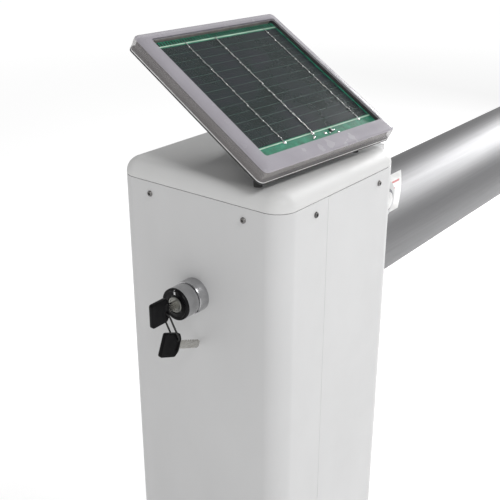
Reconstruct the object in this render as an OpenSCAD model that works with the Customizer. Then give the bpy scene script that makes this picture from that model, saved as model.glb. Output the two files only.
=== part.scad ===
// Solar-powered parking barrier: a square steel column with a lifting boom hinged behind it,
// a key-operated release on its front cover and a tilting solar panel on its lid.
// Origin: centre of the base plate's underside. +X right, +Y towards the boom, +Z up.

/* [Column] */
// Outer width and depth of the square column
col_w = 200; // [200:1:210]
// Height of the joint between the column and its lid
joint_z = 1000; // [960:1:1100]
// Outer corner radius of the column
col_r = 21; // [16:1:24]
// Thickness of the sheet steel shells
wall = 2.5; // [2:0.5:3]
// Where the front cover meets the rear body, along Y
seam_y = -29; // [-34:1:-24]
// Height of the lid above the joint
lid_h = 17; // [16:1:22]
// Radius of the lid's top edge
lid_edge = 15; // [5:1:15]
// Distance of the shell screws below the joint
screw_drop = 11.6; // [10:0.1:13]

/* [Base] */
// Side of the square base plate
base_w = 280; // [270:1:320]
// Thickness of the base plate
base_t = 10; // [8:1:15]
// Distance between the anchor holes
anchor_pitch = 240; // [236:1:250]
// Radius of the anchor holes
anchor_r = 7; // [6:0.5:9]
// Radius of the cable conduit hole
conduit_r = 30; // [20:1:35]

/* [Boom] */
// Outer radius of the boom tube
boom_r = 60; // [50:0.5:60]
// Wall thickness of the boom tube
boom_t = 2.5; // [2:0.5:3]
// Length of the boom tube
boom_len = 2500; // [1500:10:3500]
// Distance of the boom's centre line below the lid joint
boom_drop = 126; // [124:1:130]

/* [Lock] */
// Sideways place of the lock on the front cover
lock_x = -2; // [-6:1:6]
// Distance of the lock below the lid joint
lock_drop = 102; // [100:1:106]
// Radius of the lock's rear ring
lock_r = 17; // [16:0.5:18]

/* [Solar panel] */
// Width of the panel along its hinge
panel_w = 194; // [180:1:200]
// Length of the panel up its slope
panel_l = 192; // [180:1:196]
// Tilt of the panel at rest
panel_tilt = 30; // [28:1:32]
// Turn of the panel on its swivel at rest
panel_yaw = -4.6; // [-10:0.1:10]
// Number of cell rows on the solar board
cell_rows = 13; // [8:1:14]

/* [Hidden] */
$fn = 64;

gap = 0.3;                       // clearance between parts that move past each other
half = col_w / 2;
inner = half - wall;             // inside face of the shells
boom_z = joint_z - boom_drop;
lock_z = joint_z - lock_drop;
screw_z = joint_z - screw_drop;
lid_top = joint_z + lid_h;

// Shell screws: distance from the centre line on the front and back, and places along the sides
screw_x = 57;
side_screw_front = -49;
side_screw_rear = 62;

// Boom hinge
pivot_y = half + 30;
pivot_z = boom_z + 70;
pivot_r = 10;
plate_t = 6;                     // back plate of the hinge bracket
bracket_y = half + plate_t;      // its rear face
hub_plate_y = half + 12;         // front face of the boom's end plate
hub_plate_t = 8;
boom_y = hub_plate_y + hub_plate_t;
ear_x = 62;                      // inner face of the bracket's ears
ear_t = 8;

// Gears: a sector on the boom driven by a pinion
gear_module = 2.5;
sector_teeth = 36;
pinion_teeth = 18;
sector_r = gear_module * sector_teeth / 2;
pinion_r = gear_module * pinion_teeth / 2;
mesh_angle = 205;                // from +Y, seen from +X, where the pinion meets the sector
pinion_y = pivot_y + (sector_r + pinion_r) * cos(mesh_angle);
pinion_z = pivot_z + (sector_r + pinion_r) * sin(mesh_angle);
gear_t = 16;
pressure_angle = 20;
backlash = 0.3;

// Drive unit
gearbox_x = 14;                  // left face of the gearbox
gearbox_w = 60;
plate_x = gearbox_x + gearbox_w; // left face of the chassis plate
chassis_t = 4;
motor_x = 44;
motor_y = 50;
motor_r = 28;

// Lock and keys
face_y = -half;                  // front face of the cover
ring_l = 12;
barrel_l = 14.5;
barrel_r = 16;
face_l = 3;
plug_r = 8;
plug_y = face_y - ring_l - barrel_l - face_l - 0.5;
head_y = plug_y - 8.5;           // rear edge of the key's head
head_l = 23;
head_h = 24;
head_t = 5;
slit_y = head_y - 4;             // middle of the slit that the loop goes through
loop_x = 4.5;                    // half the loop's width
loop_r = 0.9;
slit_end = 4.6;                  // centre of the slit's round ends, above and below its middle
loop_top = [lock_x, slit_y, lock_z - 4.2];
loop_end = [lock_x + 2.3, slit_y + 11.6, lock_z - 36.6];
spare_turn = -4;
spare_lean = -20.5;

// Solar panel
panel_z = lid_top + 7;           // lowest edge of the panel
panel_t = 16;
tray_t = 2;
pivot_below = 18;                // tilt axis below the panel's underside
panel_mid_z = panel_z + panel_l / 2 * sin(panel_tilt);
tilt_u = -pivot_below * sin(panel_tilt);
tilt_z = panel_mid_z - pivot_below * cos(panel_tilt);
yoke_v = 20;                     // inner faces of the yoke's uprights
swivel_y = 3;

// ---- helpers ----

// A drawing of (y, z) made into a plate from x0, t thick
module yz(x0, t) {
    translate([x0, 0, 0]) rotate([90, 0, 90]) linear_extrude(t) children();
}

// A drawing of (x, z) made into a plate from y0, t thick
module xz(y0, t) {
    translate([0, y0 + t, 0]) rotate([90, 0, 0]) linear_extrude(t) children();
}

module rod_x(x0, x1, y, z, r) {
    translate([x0, y, z]) rotate([0, 90, 0]) cylinder(h = x1 - x0, r = r);
}

module rod_y(y0, y1, x, z, r) {
    translate([x, y0, z]) rotate([-90, 0, 0]) cylinder(h = y1 - y0, r = r);
}

module rod_z(z0, z1, x, y, r) {
    translate([x, y, z0]) cylinder(h = z1 - z0, r = r);
}

module box(x0, x1, y0, y1, z0, z1) {
    translate([x0, y0, z0]) cube([x1 - x0, y1 - y0, z1 - z0]);
}

// A rectangle with round corners, centred
module round_rect(w, d, r) {
    square([w - 2 * r, d], center = true);
    square([w, d - 2 * r], center = true);
    for (sx = [-1, 1])
        for (sy = [-1, 1])
            translate([sx * (w / 2 - r), sy * (d / 2 - r)]) circle(r);
}

// The column's outline, moved inwards by inset
module column_outline(inset) {
    round_rect(col_w - 2 * inset, col_w - 2 * inset, col_r - inset);
}

module hex(r) {
    circle(r, $fn = 6);
}

// Round-headed screw with its head outside the face, pointing along +Z, tip at -length
module screw(r, length, head_r, head_h) {
    translate([0, 0, -length]) cylinder(h = length, r = r);
    difference() {
        cylinder(h = head_h, r1 = head_r, r2 = head_r * 0.8);
        translate([0, 0, head_h * 0.4]) cylinder(h = head_h, r = r * 0.7, $fn = 6);
    }
}

// ---- involute gear outline ----

function involute(a) = tan(a) * 180 / PI - a;

// Half the angle that a tooth takes at radius r
function tooth_half(n, r) =
    let (rp = gear_module * n / 2, rb = rp * cos(pressure_angle))
    90 / n - backlash / 2 / rp * 90 / PI + involute(pressure_angle)
    - involute(r > rb ? acos(rb / r) : 0);

function polar(r, a) = [r * cos(a), r * sin(a)];

// Points of one tooth whose middle is at angle a
function tooth(n, a) =
    let (
        rp = gear_module * n / 2,
        steps = [-1.2, -0.75, -0.3, 0.15, 0.55, 0.95],
        radii = [for (s = steps) rp + s * gear_module]
    )
    concat(
        [for (r = radii) polar(r, a - tooth_half(n, r))],
        [for (i = [len(radii) - 1:-1:0]) polar(radii[i], a + tooth_half(n, radii[i]))]
    );

function teeth(n, first, count) =
    [for (i = [0:count - 1]) each tooth(n, first + i * 360 / n)];

// ---- base and column ----

module base_plate() {
    color("dimgray")
    difference() {
        linear_extrude(base_t)
            difference() {
                round_rect(base_w, base_w, 12);
                circle(conduit_r);
                for (sx = [-1, 1])
                    for (sy = [-1, 1])
                        translate([sx, sy] * anchor_pitch / 2) circle(anchor_r);
            }
    }
}

// The rear body: the back and sides of the column, with a joggled strip behind each seam
module rear_body() {
    strip_top = joint_z - 26;
    color("gainsboro")
    difference() {
        union() {
            translate([0, 0, base_t])
                linear_extrude(joint_z - base_t)
                    difference() {
                        column_outline(0);
                        column_outline(wall);
                        translate([-col_w, -col_w + seam_y]) square([2 * col_w, col_w]);
                    }
            for (s = [-1, 1])
                translate([0, 0, base_t])
                    linear_extrude(strip_top - base_t)
                        scale([s, 1])
                            union() {
                                translate([inner - 2.4, seam_y - 12]) square([2.1, 26]);
                                translate([inner - 2.4, seam_y]) square([2.6, 14]);
                            }
        }
        // slot for the sector gear
        box(-12, 12, inner - 5, half + 1, pivot_z - 56, joint_z - 3);
        for (s = [-1, 1]) {
            rod_x(s < 0 ? -half - 1 : inner - 1, s < 0 ? 1 - inner : half + 1,
                  side_screw_rear, screw_z, 2.2);
            rod_y(inner - 1, half + 1, s * screw_x, screw_z, 2.2);
            // hinge bracket bolts
            for (z = bracket_bolt_z)
                rod_y(inner - 1, half + 1, s * bracket_bolt_x, z, 5.2);
            // bearing block bolts
            rod_y(inner - 1, half + 1, bearing_x + bearing_w / 2, pinion_z + s * 24, 3.2);
        }
    }
}

bracket_bolt_x = 42;
bracket_bolt_z = [boom_z - 42, pivot_z + 22];
bearing_x = -34;
bearing_w = 14;

// The lid: a shallow cap with a rounded top edge and a skirt that fits inside the column
module lid() {
    skirt = 22;
    color("gainsboro")
    difference() {
        union() {
            difference() {
                lid_solid(0);
                translate([0, 0, -3]) lid_solid(3);
                box(-half, half, -half, half, joint_z - 5, joint_z + 1);
            }
            translate([0, 0, joint_z - skirt])
                linear_extrude(skirt + 4)
                    difference() {
                        column_outline(wall + gap);
                        column_outline(wall + gap + 2.2);
                    }
            // boss under the swivel bolt
            rod_z(lid_top - 9, lid_top - 1, 0, swivel_y, 16);
        }
        // notch for the sector gear
        box(-13, 13, inner - 8, half, joint_z - skirt - 1, joint_z + 8);
        rod_z(lid_top - 20, lid_top + 1, 0, swivel_y, 6.3);
        for (s = [-1, 1]) {
            rod_y(-half - 1, -inner + 6, s * screw_x, screw_z, 2.2);
            rod_y(inner - 6, half + 1, s * screw_x, screw_z, 2.2);
            for (y = [side_screw_front, side_screw_rear])
                rod_x(s < 0 ? -half - 1 : inner - 6, s < 0 ? 6 - inner : half + 1,
                      y, screw_z, 2.3);
            // open slot, so that the front cover draws off with its side screws in
            box(s < 0 ? -half : inner - 6, s < 0 ? 6 - inner : half,
                -half, side_screw_front, screw_z - 2.3, screw_z + 2.3);
        }
    }
}

// The lid's outer shape, moved inwards by inset: a plate with a quarter-round top edge
module lid_solid(inset) {
    w = half - inset;
    r = col_r - inset;
    e = lid_edge - inset;
    z0 = joint_z + 1;
    z1 = lid_top;
    translate([0, 0, z0]) linear_extrude(z1 - z0 - e) column_outline(inset);
    translate([0, 0, z0]) linear_extrude(z1 - z0)
        round_rect(2 * (w - e), 2 * (w - e), r - e);
    translate([0, 0, z1 - e]) {
        for (a = [0:90:270])
            rotate(a) {
                // the straight edge
                translate([w - e, -(w - r), 0]) rotate([-90, 0, 0])
                    linear_extrude(2 * (w - r))
                        intersection() {
                            circle(e);
                            translate([0, -e]) square(e);
                        }
                // the round corner
                translate([w - r, w - r, 0])
                    rotate_extrude(angle = 90)
                        translate([r - e, 0])
                            intersection() {
                                circle(e);
                                square(e);
                            }
            }
    }
}

module lid_gasket() {
    color("black")
    translate([0, 0, joint_z])
        linear_extrude(1)
            difference() {
                column_outline(0.8);
                column_outline(wall + 0.2);
                translate([-13, inner - 8]) square([26, 20]);
            }
}

// Screws that hold the rear body to the lid's skirt
module lid_screws() {
    color("dimgray") {
        for (s = [-1, 1]) {
            translate([s * half, side_screw_rear, screw_z]) rotate([0, s * 90, 0])
                screw(2, 8, 3.6, 1.6);
            translate([s * screw_x, half, screw_z]) rotate([-90, 0, 0])
                screw(2, 8, 3.6, 1.6);
        }
    }
}

// ---- boom hinge, on the column's back ----

// Back plate with two ears that hold the hinge shaft
module pivot_bracket() {
    color("gainsboro")
    difference() {
        union() {
            xz(half, plate_t)
                translate([0, (boom_z + pivot_z) / 2 - 24]) round_rect(150, 190, 10);
            for (s = [-1, 1])
                yz(s < 0 ? -ear_x - ear_t : ear_x, ear_t)
                    union() {
                        translate([pivot_y, pivot_z]) circle(22);
                        translate([half + 3, pivot_z - 42]) square([pivot_y - half - 3, 64]);
                        polygon([[half + 3, pivot_z - 42], [pivot_y, pivot_z - 22],
                                 [pivot_y, pivot_z], [half + 3, pivot_z]]);
                    }
            // stops that hold down the springs' fixed legs
            for (s = [-1, 1])
                box(s < 0 ? -ear_x - 1 : 52, s < 0 ? -52 : ear_x + 1,
                    bracket_y - 1, bracket_y + 10, pivot_z + 18.5, pivot_z + 23);
        }
        box(-12, 12, half - 1, bracket_y + 1, pivot_z - 56, joint_z + 20);
        rod_x(-100, 100, pivot_y, pivot_z, pivot_r + 0.05);
        for (s = [-1, 1])
            for (z = bracket_bolt_z)
                rod_y(half - 1, bracket_y + 1, s * bracket_bolt_x, z, 5.2);
    }
}

// Bolts, washers and nuts through the bracket and the back wall
module pivot_bracket_bolts() {
    color("silver")
    for (s = [-1, 1])
        for (z = bracket_bolt_z)
            translate([s * bracket_bolt_x, 0, z]) {
                rod_y(inner - 11, bracket_y + 1, 0, 0, 5);
                rod_y(bracket_y, bracket_y + 1.5, 0, 0, 9);
                xz(bracket_y + 1, 4.5) hex(8);
                xz(inner - 8, 8) hex(8.5);
            }
}

module pivot_shaft() {
    end = ear_x + ear_t + 4.5;
    color("silver")
    difference() {
        rod_x(-end, end, pivot_y, pivot_z, pivot_r);
        for (s = [-1, 1])
            difference() {
                rod_x(s < 0 ? -ear_x - ear_t - 3 : ear_x + ear_t + 1,
                      s < 0 ? -ear_x - ear_t - 1 : ear_x + ear_t + 3,
                      pivot_y, pivot_z, pivot_r + 1);
                rod_x(-end, end, pivot_y, pivot_z, pivot_r - 1);
            }
    }
}

// Snap rings in the shaft's two grooves
module shaft_clips() {
    color("gray")
    for (s = [-1, 1])
        yz(s < 0 ? -ear_x - ear_t - 2.8 : ear_x + ear_t + 1.2, 1.6)
            translate([pivot_y, pivot_z])
                difference() {
                    circle(pivot_r + 3.5);
                    circle(pivot_r - 0.8);
                    translate([-2, 0]) square([4, 20]);
                }
}

// Small rain cover over the hinge, with a flange riveted to the bracket's back plate
module pivot_cover() {
    top = joint_z + 4;
    y1 = half + 38;
    color("gainsboro")
    difference() {
        union() {
            box(-ear_x + 1, ear_x - 1, bracket_y, y1, top - 2, top);
            xz(y1 - 2, 2)
                translate([-ear_x + 1, top - 12]) square([2 * ear_x - 2, 12]);
            for (s = [-1, 1])
                box(s < 0 ? -ear_x + 1 : ear_x - 3, s < 0 ? -ear_x + 3 : ear_x - 1,
                    bracket_y, y1, top - 12, top);
            xz(bracket_y, 2)
                translate([-30, top - 32]) square([60, 31]);
            for (s = [-1, 1])
                rod_y(bracket_y + 1, bracket_y + 3, s * 22, top - 28, 3);
        }
        // slot for the sector gear
        box(-12, 12, bracket_y - 1, bracket_y + 4, top - 33, top - 9);
    }
}

// Rubber buffers that the boom's end plate rests on when the boom is down
module stop_buffers() {
    color("black")
    for (s = [-1, 1])
        rod_y(bracket_y, hub_plate_y - 0.1, s * 22, boom_z - 44, 10);
}

// ---- torsion springs ----

spring_mean_r = 16;
spring_wire_r = 2.4;
spring_turns = 4.25;
spring_pitch = 5.5;
spring_x = 33.5;                 // first coil
spring_leg = 22;

// Centre line of a spring: a leg to the bracket's back plate, the coil, a leg along the hub
function spring_path(s) =
    let (
        n = 14 * spring_turns,
        a0 = 90,
        coil = [for (i = [0:n])
            let (a = a0 - 360 * spring_turns * i / n)
            [s * (spring_x + spring_pitch * spring_turns * (1 - i / n)),
             pivot_y + spring_mean_r * cos(a), pivot_z + spring_mean_r * sin(a)]],
        first = coil[0],
        last = coil[len(coil) - 1]
    )
    concat([[first[0], bracket_y + spring_wire_r, first[2]]], coil,
           [[last[0], last[1], last[2] - 10]]);

function unit(v) = v / norm(v);

// A closed tube of radius r and k sides along a list of points
module swept_tube(path, r, k) {
    n = len(path);
    tangent = [for (i = [0:n - 1])
        unit(path[min(i + 1, n - 1)] - path[max(i - 1, 0)])];
    side = [1, 0, 0];
    rings = [for (i = [0:n - 1])
        let (
            e1 = unit(cross(tangent[i], side)),
            e2 = cross(tangent[i], e1)
        )
        for (j = [0:k - 1])
            path[i] + r * (cos(360 * j / k) * e1 + sin(360 * j / k) * e2)];
    walls = [for (i = [0:n - 2])
        for (j = [0:k - 1])
            [i * k + j, i * k + (j + 1) % k, (i + 1) * k + (j + 1) % k, (i + 1) * k + j]];
    polyhedron(
        points = rings,
        faces = concat(
            walls,
            [[for (j = [k - 1:-1:0]) j]],
            [[for (j = [0:k - 1]) (n - 1) * k + j]]
        ),
        convexity = 6
    );
}

module torsion_spring(s) {
    color("dimgray") swept_tube(spring_path(s), spring_wire_r, 8);
}

module torsion_spring_left() torsion_spring(-1);

module torsion_spring_right() torsion_spring(1);

// ---- drive unit inside the column ----

// Vertical plate on the right-hand side that carries the gearbox
module chassis_plate() {
    color("silver")
    difference() {
        union() {
            box(plate_x, plate_x + chassis_t, -6, 92, 560, 972);
            for (y = [0, 86])
                for (z = [590, 700, 840])
                    rod_x(plate_x + chassis_t - 1, inner, y == 0 ? 8 : 70, z, 7);
        }
        for (p = gearbox_screw_yz)
            rod_x(plate_x - 1, plate_x + chassis_t + 1, p[0], p[1], 3.2);
        rod_x(plate_x - 1, plate_x + chassis_t + 1, pinion_y, pinion_z, 14);
    }
}

gearbox_y0 = 26;
gearbox_y1 = 92;
gearbox_z0 = 876;
gearbox_z1 = 954;
gearbox_screw_yz = [[32, 882], [86, 882], [32, 948], [86, 948]];

// Screws that hold the gearbox to the chassis plate
module chassis_screws() {
    color("gray")
    for (p = gearbox_screw_yz)
        translate([plate_x + chassis_t, p[0], p[1]]) rotate([0, 90, 0])
            screw(3, 16, 5.5, 4);
}

module gearbox_housing() {
    cavity_x = gearbox_x + 8;
    color("silver")
    difference() {
        union() {
            yz(gearbox_x + 6, gearbox_w - 6)
                translate([(gearbox_y0 + gearbox_y1) / 2, (gearbox_z0 + gearbox_z1) / 2])
                    round_rect(gearbox_y1 - gearbox_y0, gearbox_z1 - gearbox_z0, 8);
            rod_z(gearbox_z0 - 10, gearbox_z0, motor_x, motor_y, motor_r + 2);
            rod_z(gearbox_z0 - 1, gearbox_z0 + 2, motor_x, motor_y, 20);
            // cooling ribs on top
            for (i = [0:4])
                box(gearbox_x + 14 + i * 10, gearbox_x + 17 + i * 10,
                    gearbox_y0 + 8, gearbox_y1 - 8, gearbox_z1 - 1, gearbox_z1 + 5);
        }
        rod_x(gearbox_x, plate_x + 1, pinion_y, pinion_z, 10.05);
        for (p = gearbox_screw_yz) {
            rod_x(plate_x - 14, plate_x + 1, p[0], p[1], 3);
            rod_x(gearbox_x, gearbox_x + 20, p[0], p[1], 2.5);
        }
        // worm chamber
        box(cavity_x + 2, plate_x - 16, gearbox_y0 + 14, pinion_y - 12,
            gearbox_z0 - 11, gearbox_z1 - 12);
    }
}

// Cast cover on the gearbox's left side, around the output shaft
module gearbox_cover() {
    color("gray")
    difference() {
        union() {
            yz(gearbox_x + 2, 4)
                translate([(gearbox_y0 + gearbox_y1) / 2, (gearbox_z0 + gearbox_z1) / 2])
                    round_rect(gearbox_y1 - gearbox_y0, gearbox_z1 - gearbox_z0, 8);
            rod_x(gearbox_x, gearbox_x + 3, pinion_y, pinion_z, 16);
        }
        rod_x(gearbox_x - 1, gearbox_x + 7, pinion_y, pinion_z, 10.05);
        for (p = gearbox_screw_yz)
            rod_x(gearbox_x, gearbox_x + 7, p[0], p[1], 2.6);
    }
}

module gearbox_screws() {
    color("dimgray")
    for (p = gearbox_screw_yz)
        translate([gearbox_x + 2, p[0], p[1]]) rotate([0, -90, 0])
            screw(2.4, 16, 4.2, 3);
}

module motor_can() {
    top = gearbox_z0 - 10;
    color("dimgray")
    difference() {
        union() {
            rod_z(top - 112, top, motor_x, motor_y, motor_r);
            rod_z(top - 6, top, motor_x, motor_y, motor_r + 2);
        }
        for (a = [0:60:300])
            translate([motor_x, motor_y, top - 60])
                rotate(a)
                    box(motor_r - 0.6, motor_r + 2, -2, 2, -40, 30);
    }
}

module motor_end_cap() {
    top = gearbox_z0 - 122;
    color("black")
    union() {
        rod_z(top - 14, top, motor_x, motor_y, motor_r);
        rod_z(top - 18, top - 13, motor_x, motor_y, 12);
        for (s = [-1, 1])
            box(motor_x + s * 12 - 3, motor_x + s * 12 + 3, motor_y - 1, motor_y + 1,
                top - 24, top - 13);
    }
}

// Outer bearing of the output shaft, bolted to the back wall
module bearing_block() {
    color("gray")
    difference() {
        union() {
            yz(bearing_x, bearing_w)
                union() {
                    translate([pinion_y, pinion_z]) circle(17);
                    translate([pinion_y, pinion_z - 17]) square([inner - 5 - pinion_y, 34]);
                }
            box(bearing_x, bearing_x + bearing_w, inner - 6, inner,
                pinion_z - 32, pinion_z + 32);
        }
        rod_x(bearing_x - 1, bearing_x + bearing_w + 1, pinion_y, pinion_z, 7.05);
        for (s = [-1, 1])
            rod_y(inner - 7, inner + 1, bearing_x + bearing_w / 2, pinion_z + s * 24, 3.2);
    }
}

module output_shaft() {
    color("silver")
    union() {
        rod_x(bearing_x - 4, -gear_t / 2 - 0.5, pinion_y, pinion_z, 7);
        rod_x(-gear_t / 2 - 0.5, gear_t / 2 + 0.5, pinion_y, pinion_z, 8);
        rod_x(gear_t / 2 + 0.5, plate_x + 6, pinion_y, pinion_z, 10);
    }
}

module output_pinion() {
    color("darkgray")
    difference() {
        yz(-gear_t / 2, gear_t)
            translate([pinion_y, pinion_z])
                // a gap faces the sector
                polygon(teeth(pinion_teeth, mesh_angle - 180 + 180 / pinion_teeth,
                              pinion_teeth));
        rod_x(-gear_t, gear_t, pinion_y, pinion_z, 8);
    }
}

// Two plunger switches beside the sector's path, on strips from the back wall
module limit_switches() {
    color("black")
    for (z = [pivot_z + 6, pivot_z + 23])
        translate([-9.5, 0, z]) {
            box(-10, 0, 62, 90, -7, 7);
            box(-8, -2, 90, 91.4, -5, 5);
            rod_x(-1, 1.2, 86, 0, 2);
            for (dz = [-4, 0, 4])
                box(-6, -5, 58, 63, dz - 1, dz + 1);
            box(-6, -4, 91, inner, -4, 4);
        }
}

// ---- battery and electronics ----

battery_z = 70;

module battery_tray() {
    color("silver")
    difference() {
        union() {
            box(-80, 80, -12, 92, battery_z - 3, battery_z);
            box(-80, 80, -14, -12, battery_z - 3, battery_z + 22);
            for (s = [-1, 1])
                box(s < 0 ? -80 : 78, s < 0 ? -78 : 80, -12, 92, base_t, battery_z + 22);
        }
        rod_z(battery_z - 4, battery_z + 1, 0, 40, 18);
    }
}

module battery() {
    color("dimgray")
    union() {
        box(-75, 75, -9, 89, battery_z, battery_z + 92);
        box(-72, 72, -6, 86, battery_z + 91, battery_z + 96);
        for (s = [-1, 1])
            box(s * 58 - 4, s * 58 + 4, 4, 10, battery_z + 94, battery_z + 104);
    }
}

ctrl_z = 400;
ctrl_y = 48;

// Electronics box on the back wall
module controller_box() {
    color("lightgray")
    difference() {
        union() {
            box(-70, 70, ctrl_y, inner, ctrl_z, ctrl_z + 120);
            for (x = [-45, -15, 15, 45])
                rod_z(ctrl_z - 14, ctrl_z + 1, x, 70, 8);
        }
        box(-66, 66, ctrl_y - 1, inner - 4, ctrl_z + 4, ctrl_z + 116);
        for (x = [-45, -15, 15, 45])
            rod_z(ctrl_z - 15, ctrl_z + 5, x, 70, 4);
    }
}

module controller_cover() {
    color("gray")
    union() {
        box(-71, 71, ctrl_y - 8, ctrl_y, ctrl_z - 1, ctrl_z + 121);
        for (sx = [-1, 1])
            for (z = [ctrl_z + 6, ctrl_z + 114])
                rod_y(ctrl_y - 10, ctrl_y - 7, sx * 62, z, 4);
        for (i = [0:2])
            rod_y(ctrl_y - 9.5, ctrl_y - 7, -20 + 14 * i, ctrl_z + 96, 2.5);
    }
}

// ---- boom ----

lug_x = 9.5;                     // inner face of the hub's lugs
lug_t = 10;
boss_end = 31;
gear_bolt_r = 22;                // the gear's clamp bolt: distance and angle from the hinge
gear_bolt_a = 20;
gear_bolt_y = pivot_y + gear_bolt_r * cos(gear_bolt_a);
gear_bolt_z = pivot_z + gear_bolt_r * sin(gear_bolt_a);

// Steel hub: hinge bosses, end plate and the spigot that the tube slides over
module boom_hub() {
    spigot_r = boom_r - boom_t - 0.2;
    color("silver")
    difference() {
        union() {
            rod_y(hub_plate_y, boom_y, 0, boom_z, boom_r + 1);
            rod_y(boom_y - 1, boom_y + 150, 0, boom_z, spigot_r);
            for (s = [-1, 1]) {
                rod_x(s < 0 ? -boss_end : lug_x, s < 0 ? -lug_x : boss_end,
                      pivot_y, pivot_z, 16);
                yz(s < 0 ? -lug_x - lug_t : lug_x, lug_t)
                    polygon([[hub_plate_y, boom_z + 20], [boom_y, boom_z + 20],
                             [boom_y, boom_z + 61], [pivot_y + 26, boom_z + 61],
                             [pivot_y + 26, pivot_z - 3], [pivot_y + 12, pivot_z + 10],
                             [pivot_y, pivot_z + 14], [pivot_y - 14, pivot_z],
                             [hub_plate_y, boom_z + 52]]);
                rod_x(s < 0 ? -lug_x - lug_t : lug_x, s < 0 ? -lug_x : lug_x + lug_t,
                      gear_bolt_y, gear_bolt_z, 9);
                // peg for the spring's moving leg
                rod_x(s < 0 ? -37 : lug_x + 1, s < 0 ? -lug_x - 1 : 37,
                      pivot_y + 21.5, pivot_z - 6.5, 3);
            }
        }
        rod_y(hub_plate_y + hub_plate_t, boom_y + 151, 0, boom_z, spigot_r - 5);
        rod_x(-100, 100, pivot_y, pivot_z, 13);
        // room for the sector gear
        box(-lug_x, lug_x, hub_plate_y - 1, boom_y + 30, pivot_z - 54, pivot_z + 40);
        rod_x(-lug_x - lug_t - 1, lug_x + lug_t + 1, gear_bolt_y, gear_bolt_z, 3.2);
        for (a = boom_screw_angles)
            translate([0, boom_y + 60, boom_z]) rotate([0, a, 0])
                cylinder(h = boom_r, r = 3.2);
    }
}

boom_screw_angles = [45, 135, 225, 315];

module boom_gear() {
    n = 13;                      // teeth in the sector
    first = mesh_angle - (n - 2) * 360 / sector_teeth;
    color("darkgray")
    difference() {
        yz(-gear_t / 2, gear_t)
            translate([pivot_y, pivot_z])
                polygon(concat(
                    teeth(sector_teeth, first, n),
                    [for (a = [225:15:330]) polar(15.5, a)],
                    // tongue round the clamp bolt
                    [for (a = [-80:20:100])
                        polar(gear_bolt_r, gear_bolt_a) + polar(8, a + gear_bolt_a)],
                    [for (a = [70:10:90]) polar(15.5, a)]
                ));
        rod_x(-gear_t, gear_t, pivot_y, pivot_z, pivot_r + 0.5);
        rod_x(-gear_t, gear_t, gear_bolt_y, gear_bolt_z, 3.2);
    }
}

// The bolt that clamps the sector between the hub's lugs
module boom_gear_bolts() {
    end = lug_x + lug_t;
    color("silver")
    union() {
        rod_x(-end - 4, end + 8, gear_bolt_y, gear_bolt_z, 3);
        yz(-end - 4, 4) translate([gear_bolt_y, gear_bolt_z]) hex(6);
        yz(end, 5) translate([gear_bolt_y, gear_bolt_z]) hex(6);
    }
}

// Bronze bushes in the hub's bosses
module pivot_bushes() {
    color("darkgoldenrod")
    for (s = [-1, 1])
        difference() {
            rod_x(s < 0 ? -boss_end : lug_x, s < 0 ? -lug_x : boss_end,
                  pivot_y, pivot_z, 13);
            rod_x(-100, 100, pivot_y, pivot_z, pivot_r + 0.05);
        }
}

module boom_tube() {
    color("lightgray")
    difference() {
        rod_y(boom_y, boom_y + boom_len, 0, boom_z, boom_r);
        rod_y(boom_y - 1, boom_y + boom_len + 1, 0, boom_z, boom_r - boom_t);
        // notch round the hinge
        box(-33, 33, boom_y - 1, boom_y + 31, boom_z + 45, boom_z + boom_r + 1);
        for (a = boom_screw_angles)
            translate([0, boom_y + 60, boom_z]) rotate([0, a, 0])
                cylinder(h = boom_r + 5, r = 3.2);
    }
}

// Screws that hold the tube to the hub's spigot
module boom_screws() {
    color("silver")
    for (a = boom_screw_angles)
        translate([0, boom_y + 60, boom_z]) rotate([0, a, 0])
            translate([0, 0, boom_r]) screw(3, 9, 5, 2.4);
}

module boom_end_cap() {
    y = boom_y + boom_len;
    color("dimgray")
    difference() {
        union() {
            rod_y(y, y + 4, 0, boom_z, boom_r);
            rod_y(y - 25, y + 1, 0, boom_z, boom_r - boom_t - 0.2);
        }
        rod_y(y - 26, y, 0, boom_z, boom_r - boom_t - 3);
    }
}

// ---- front cover, lock and keys ----

module front_cover() {
    color("gainsboro")
    difference() {
        translate([0, 0, base_t + 1])
            linear_extrude(joint_z - base_t - 1)
                difference() {
                    column_outline(0);
                    column_outline(wall);
                    translate([-col_w, seam_y - 0.4]) square([2 * col_w, 2 * col_w]);
                }
        rod_y(-half - 1, -inner + 1, lock_x, lock_z, 11.2);
        for (s = [-1, 1]) {
            rod_y(-half - 1, -inner + 1, s * screw_x, screw_z, 2.2);
            rod_x(s < 0 ? -half - 1 : inner - 1, s < 0 ? 1 - inner : half + 1,
                  side_screw_front, screw_z, 2.2);
        }
    }
}

// Screws through the cover into the lid's skirt
module cover_screws() {
    color("dimgray")
    for (s = [-1, 1]) {
        translate([s * half, side_screw_front, screw_z]) rotate([0, s * 90, 0])
            screw(2, 8, 3.6, 1.6);
        translate([s * screw_x, -half, screw_z]) rotate([90, 0, 0])
            screw(2, 8, 3.6, 1.6);
    }
}

// The wide chrome ring against the cover
module lock_ring() {
    color("silver")
    difference() {
        rod_y(face_y - ring_l, face_y, lock_x, lock_z, lock_r);
        rod_y(face_y - ring_l - 1, face_y + 1, lock_x, lock_z, 11);
    }
}

// The lock's body: a chrome nose in front of the ring and a barrel through the cover
module lock_barrel() {
    color("silver")
    difference() {
        union() {
            rod_y(face_y - ring_l - barrel_l, face_y - ring_l, lock_x, lock_z, barrel_r);
            rod_y(face_y - ring_l - 1, face_y + 20, lock_x, lock_z, 11);
        }
        rod_y(face_y - 40, face_y + 21, lock_x, lock_z, plug_r + 0.05);
    }
}

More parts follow.
